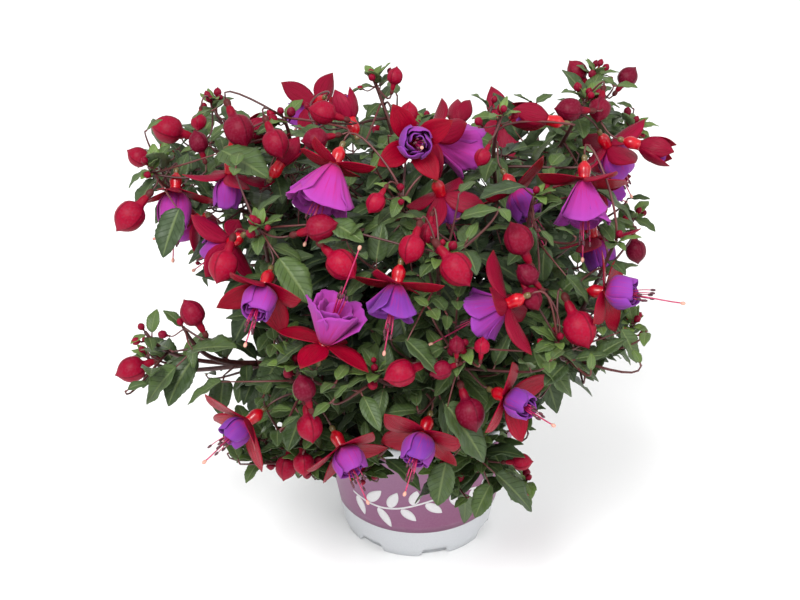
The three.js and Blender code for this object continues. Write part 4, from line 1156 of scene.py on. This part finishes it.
def make_turned(name, rows, columns, look, slot, node):
    """A closed body turned about the pot's axis; each row gives a radius and a height, which may
    be arrays that follow the turn."""
    turn = tau * np.arange(columns) / columns
    rings = np.array([around(radius, z, turn) for radius, z in rows])
    gather = Gather()
    paint = np.zeros((len(rows) * columns, 4))
    gather.add(rings.reshape(-1, 3), paint, tube_faces(len(rows), columns), look)
    piece = gather.make(name, slot)
    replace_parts(piece, node)
    return piece


def notch_arch(columns):
    """How high the notches in the foot ring reach at each turn about the pot's axis."""
    turn = np.degrees(tau * np.arange(columns) / columns)
    pitch = 360 / NOTCH["count"]
    off = np.abs((turn - NOTCH["turn"] + pitch / 2) % pitch - pitch / 2) * radians(1) * POT["foot"]
    flank = np.clip((0.5 * NOTCH["width"] - off) / (0.5 * (NOTCH["width"] - NOTCH["top_width"])), 0, 1)
    return NOTCH["height"] * flank ** 2 * (3 - 2 * flank) + 0.02


pot_columns = 336
arch = notch_arch(pot_columns)
foot, rim, height, lip = POT["foot"], POT["rim"], POT["height"], POT["rim_lip"]
inner_foot = foot - POT["foot_width"]
rim_bottom = height - POT["rim_height"]
inner_floor = pot_radius(POT["floor"]) - POT["wall"]
pot_rows = [
    (0.5, POT["underside"]),
    (inner_foot, POT["underside"]),
    (inner_foot, 0.3),
    (inner_foot + 0.3, 0),
    (foot - NOTCH["depth"] - 0.05, 0),
    (foot - NOTCH["depth"], arch),
    (foot - 0.4, arch),
    (foot + 0.05, arch + 0.4),
]
pot_rows += [(pot_radius(z), z + 0 * arch) for z in (6, 9, 12, 20)]
pot_rows += [
    (pot_radius(rim_bottom - 1.5), rim_bottom - 1.5),
    (pot_radius(rim_bottom), rim_bottom - 0.3),
    (pot_radius(rim_bottom) + 0.8 * lip, rim_bottom),
    (pot_radius(rim_bottom) + lip, rim_bottom + 0.6),
    (rim + lip, height - 1),
    (rim + 0.7 * lip, height - 0.2),
    (rim + 0.2 * lip, height),
    (rim - 0.6 * POT["wall"], height),
    (rim - POT["wall"], height - 0.6),
    (inner_floor, POT["floor"] + 1),
    (inner_floor - 1, POT["floor"]),
    (0.5, POT["floor"]),
]
make_turned("pot_shell", pot_rows, pot_columns, "pot_plastic", "white_plastic", "pot")

# Soil: a low mound of crumbs

soil_columns = 120
inside = pot_radius(SOIL["top"]) - POT["wall"] - GAP
floor_z = POT["floor"] + GAP
soil_rows = [(0.5, floor_z), (pot_radius(floor_z) - POT["wall"] - 2 * GAP, floor_z), (inside, SOIL["top"])]
for share in np.linspace(0.97, 0.01, 34):
    crumbs = uniform(-0.8, 0.8, soil_columns)
    soil_rows.append((share * inside + 0.3 * crumbs, SOIL["top"] + (1 - share) * SOIL["crown"] + crumbs))
make_turned("potting_soil", soil_rows, soil_columns, "soil", "soil", "soil")

# Label: a thin sleeve round the front, with a sprig of leaves printed on it

LABEL_RADIUS = pot_radius((LABEL["bottom"] + LABEL["top"]) / 2)
SPRIG = {"reach": 42, "height": 45, "wave": 6, "pitch": 15, "leaf": 14, "leaf_width": 3.1, "leaf_rise": 60}


def on_label(x, z, out):
    """A place on the sleeve: how far round from the front, the height, and how far out."""
    return around(pot_radius(z) + out, z, -pi / 2 + x / LABEL_RADIUS)


sides = np.linspace(LABEL["first_side"], LABEL["last_side"], 90)
label_x = sides * (tau / POT["sides"]) * LABEL_RADIUS
label_z = np.linspace(LABEL["bottom"], LABEL["top"], 12)
label = Gather()
label.sheet(on_label(label_x[None, :], label_z[:, None], 0.45), 0.3, "label_film", 0.5)
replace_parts(label.make("label_sleeve", "label_film"), "label")


def print_shape(gather, x, z, way, half):
    """A flat printed shape along a line of points, half as wide as given on each side."""
    u = np.linspace(-1, 1, 5)
    across_x = x[:, None] - way[1] * half[:, None] * u
    across_z = z[:, None] + way[0] * half[:, None] * u
    gather.sheet(on_label(across_x, across_z, 0.66), 0.1, "label_print", 0.5)


sprig = Gather()
stem_x = np.linspace(-SPRIG["reach"], SPRIG["reach"], 60)
stem_z = SPRIG["height"] + SPRIG["wave"] * np.sin(stem_x / SPRIG["pitch"])
print_shape(sprig, stem_x, stem_z, (1, 0), np.full(60, 0.7))
for i, start in enumerate(range(2, 58, 5)):
    slope = degrees(atan(cos(stem_x[start] / SPRIG["pitch"]) / 3))
    turn = radians(slope + (SPRIG["leaf_rise"] if i % 2 else -SPRIG["leaf_rise"]))
    way = (cos(turn), sin(turn))
    s = np.linspace(0, 1, 15)
    reach = 1 + (SPRIG["leaf"] + 2 * sin(i)) * s
    half = np.maximum(SPRIG["leaf_width"] * blade_width(s), 0.12)
    print_shape(sprig, stem_x[start] + way[0] * reach, stem_z[start] + way[1] * reach, way, half)
sprig.make("label_sprig", "label_film")

# Floor, camera and light, in metres

FLOOR_REACH = 4
MIDDLE = Vector((0, 0, 0.15))


def make_floor():
    mesh = bpy.data.meshes.new("floor")
    corners = [(-1, -1, 0), (1, -1, 0), (1, 1, 0), (-1, 1, 0)]
    mesh.from_pydata([FLOOR_REACH * Vector(corner) for corner in corners], [], [(0, 1, 2, 3)])
    look = Look("floor", 0.6)
    mesh.materials.append(look.done(look.math("ADD", look.math("MULTIPLY", look.noise(3), 0.04), 0.9)))
    new_object("floor", mesh)


def make_camera():
    data = bpy.data.cameras.new("camera")
    data.lens, data.sensor_width = LENS, SENSOR
    data.clip_start, data.clip_end = 0.05, 50
    camera = new_object("camera", data)
    camera.location = CAMERA_AT * MM
    camera.rotation_euler = (pi / 2 - CAMERA_PITCH, 0, 0)
    bpy.context.scene.camera = camera


def make_light(name, place, size, power):
    """A square lamp that looks at the middle of the plant."""
    data = bpy.data.lights.new(name, "AREA")
    data.energy, data.size = power * BRIGHTNESS, size
    light = new_object(name, data)
    light.location = place
    light.rotation_mode = "QUATERNION"
    light.rotation_quaternion = (MIDDLE - Vector(place)).to_track_quat("-Z", "Y")


def make_world():
    world = bpy.data.worlds.new("studio")
    world.use_nodes = True
    background = world.node_tree.nodes["Background"]
    background.inputs["Color"].default_value = (1, 1, 1, 1)
    background.inputs["Strength"].default_value = 0.66 * BRIGHTNESS
    bpy.context.scene.world = world


make_floor()
make_camera()
make_light("key", (-0.4, -0.95, 1.4), 0.6, 18)
make_light("fill", (0.9, -0.6, 0.8), 0.9, 4)
make_world()
bpy.context.scene.view_settings.view_transform = "Standard"
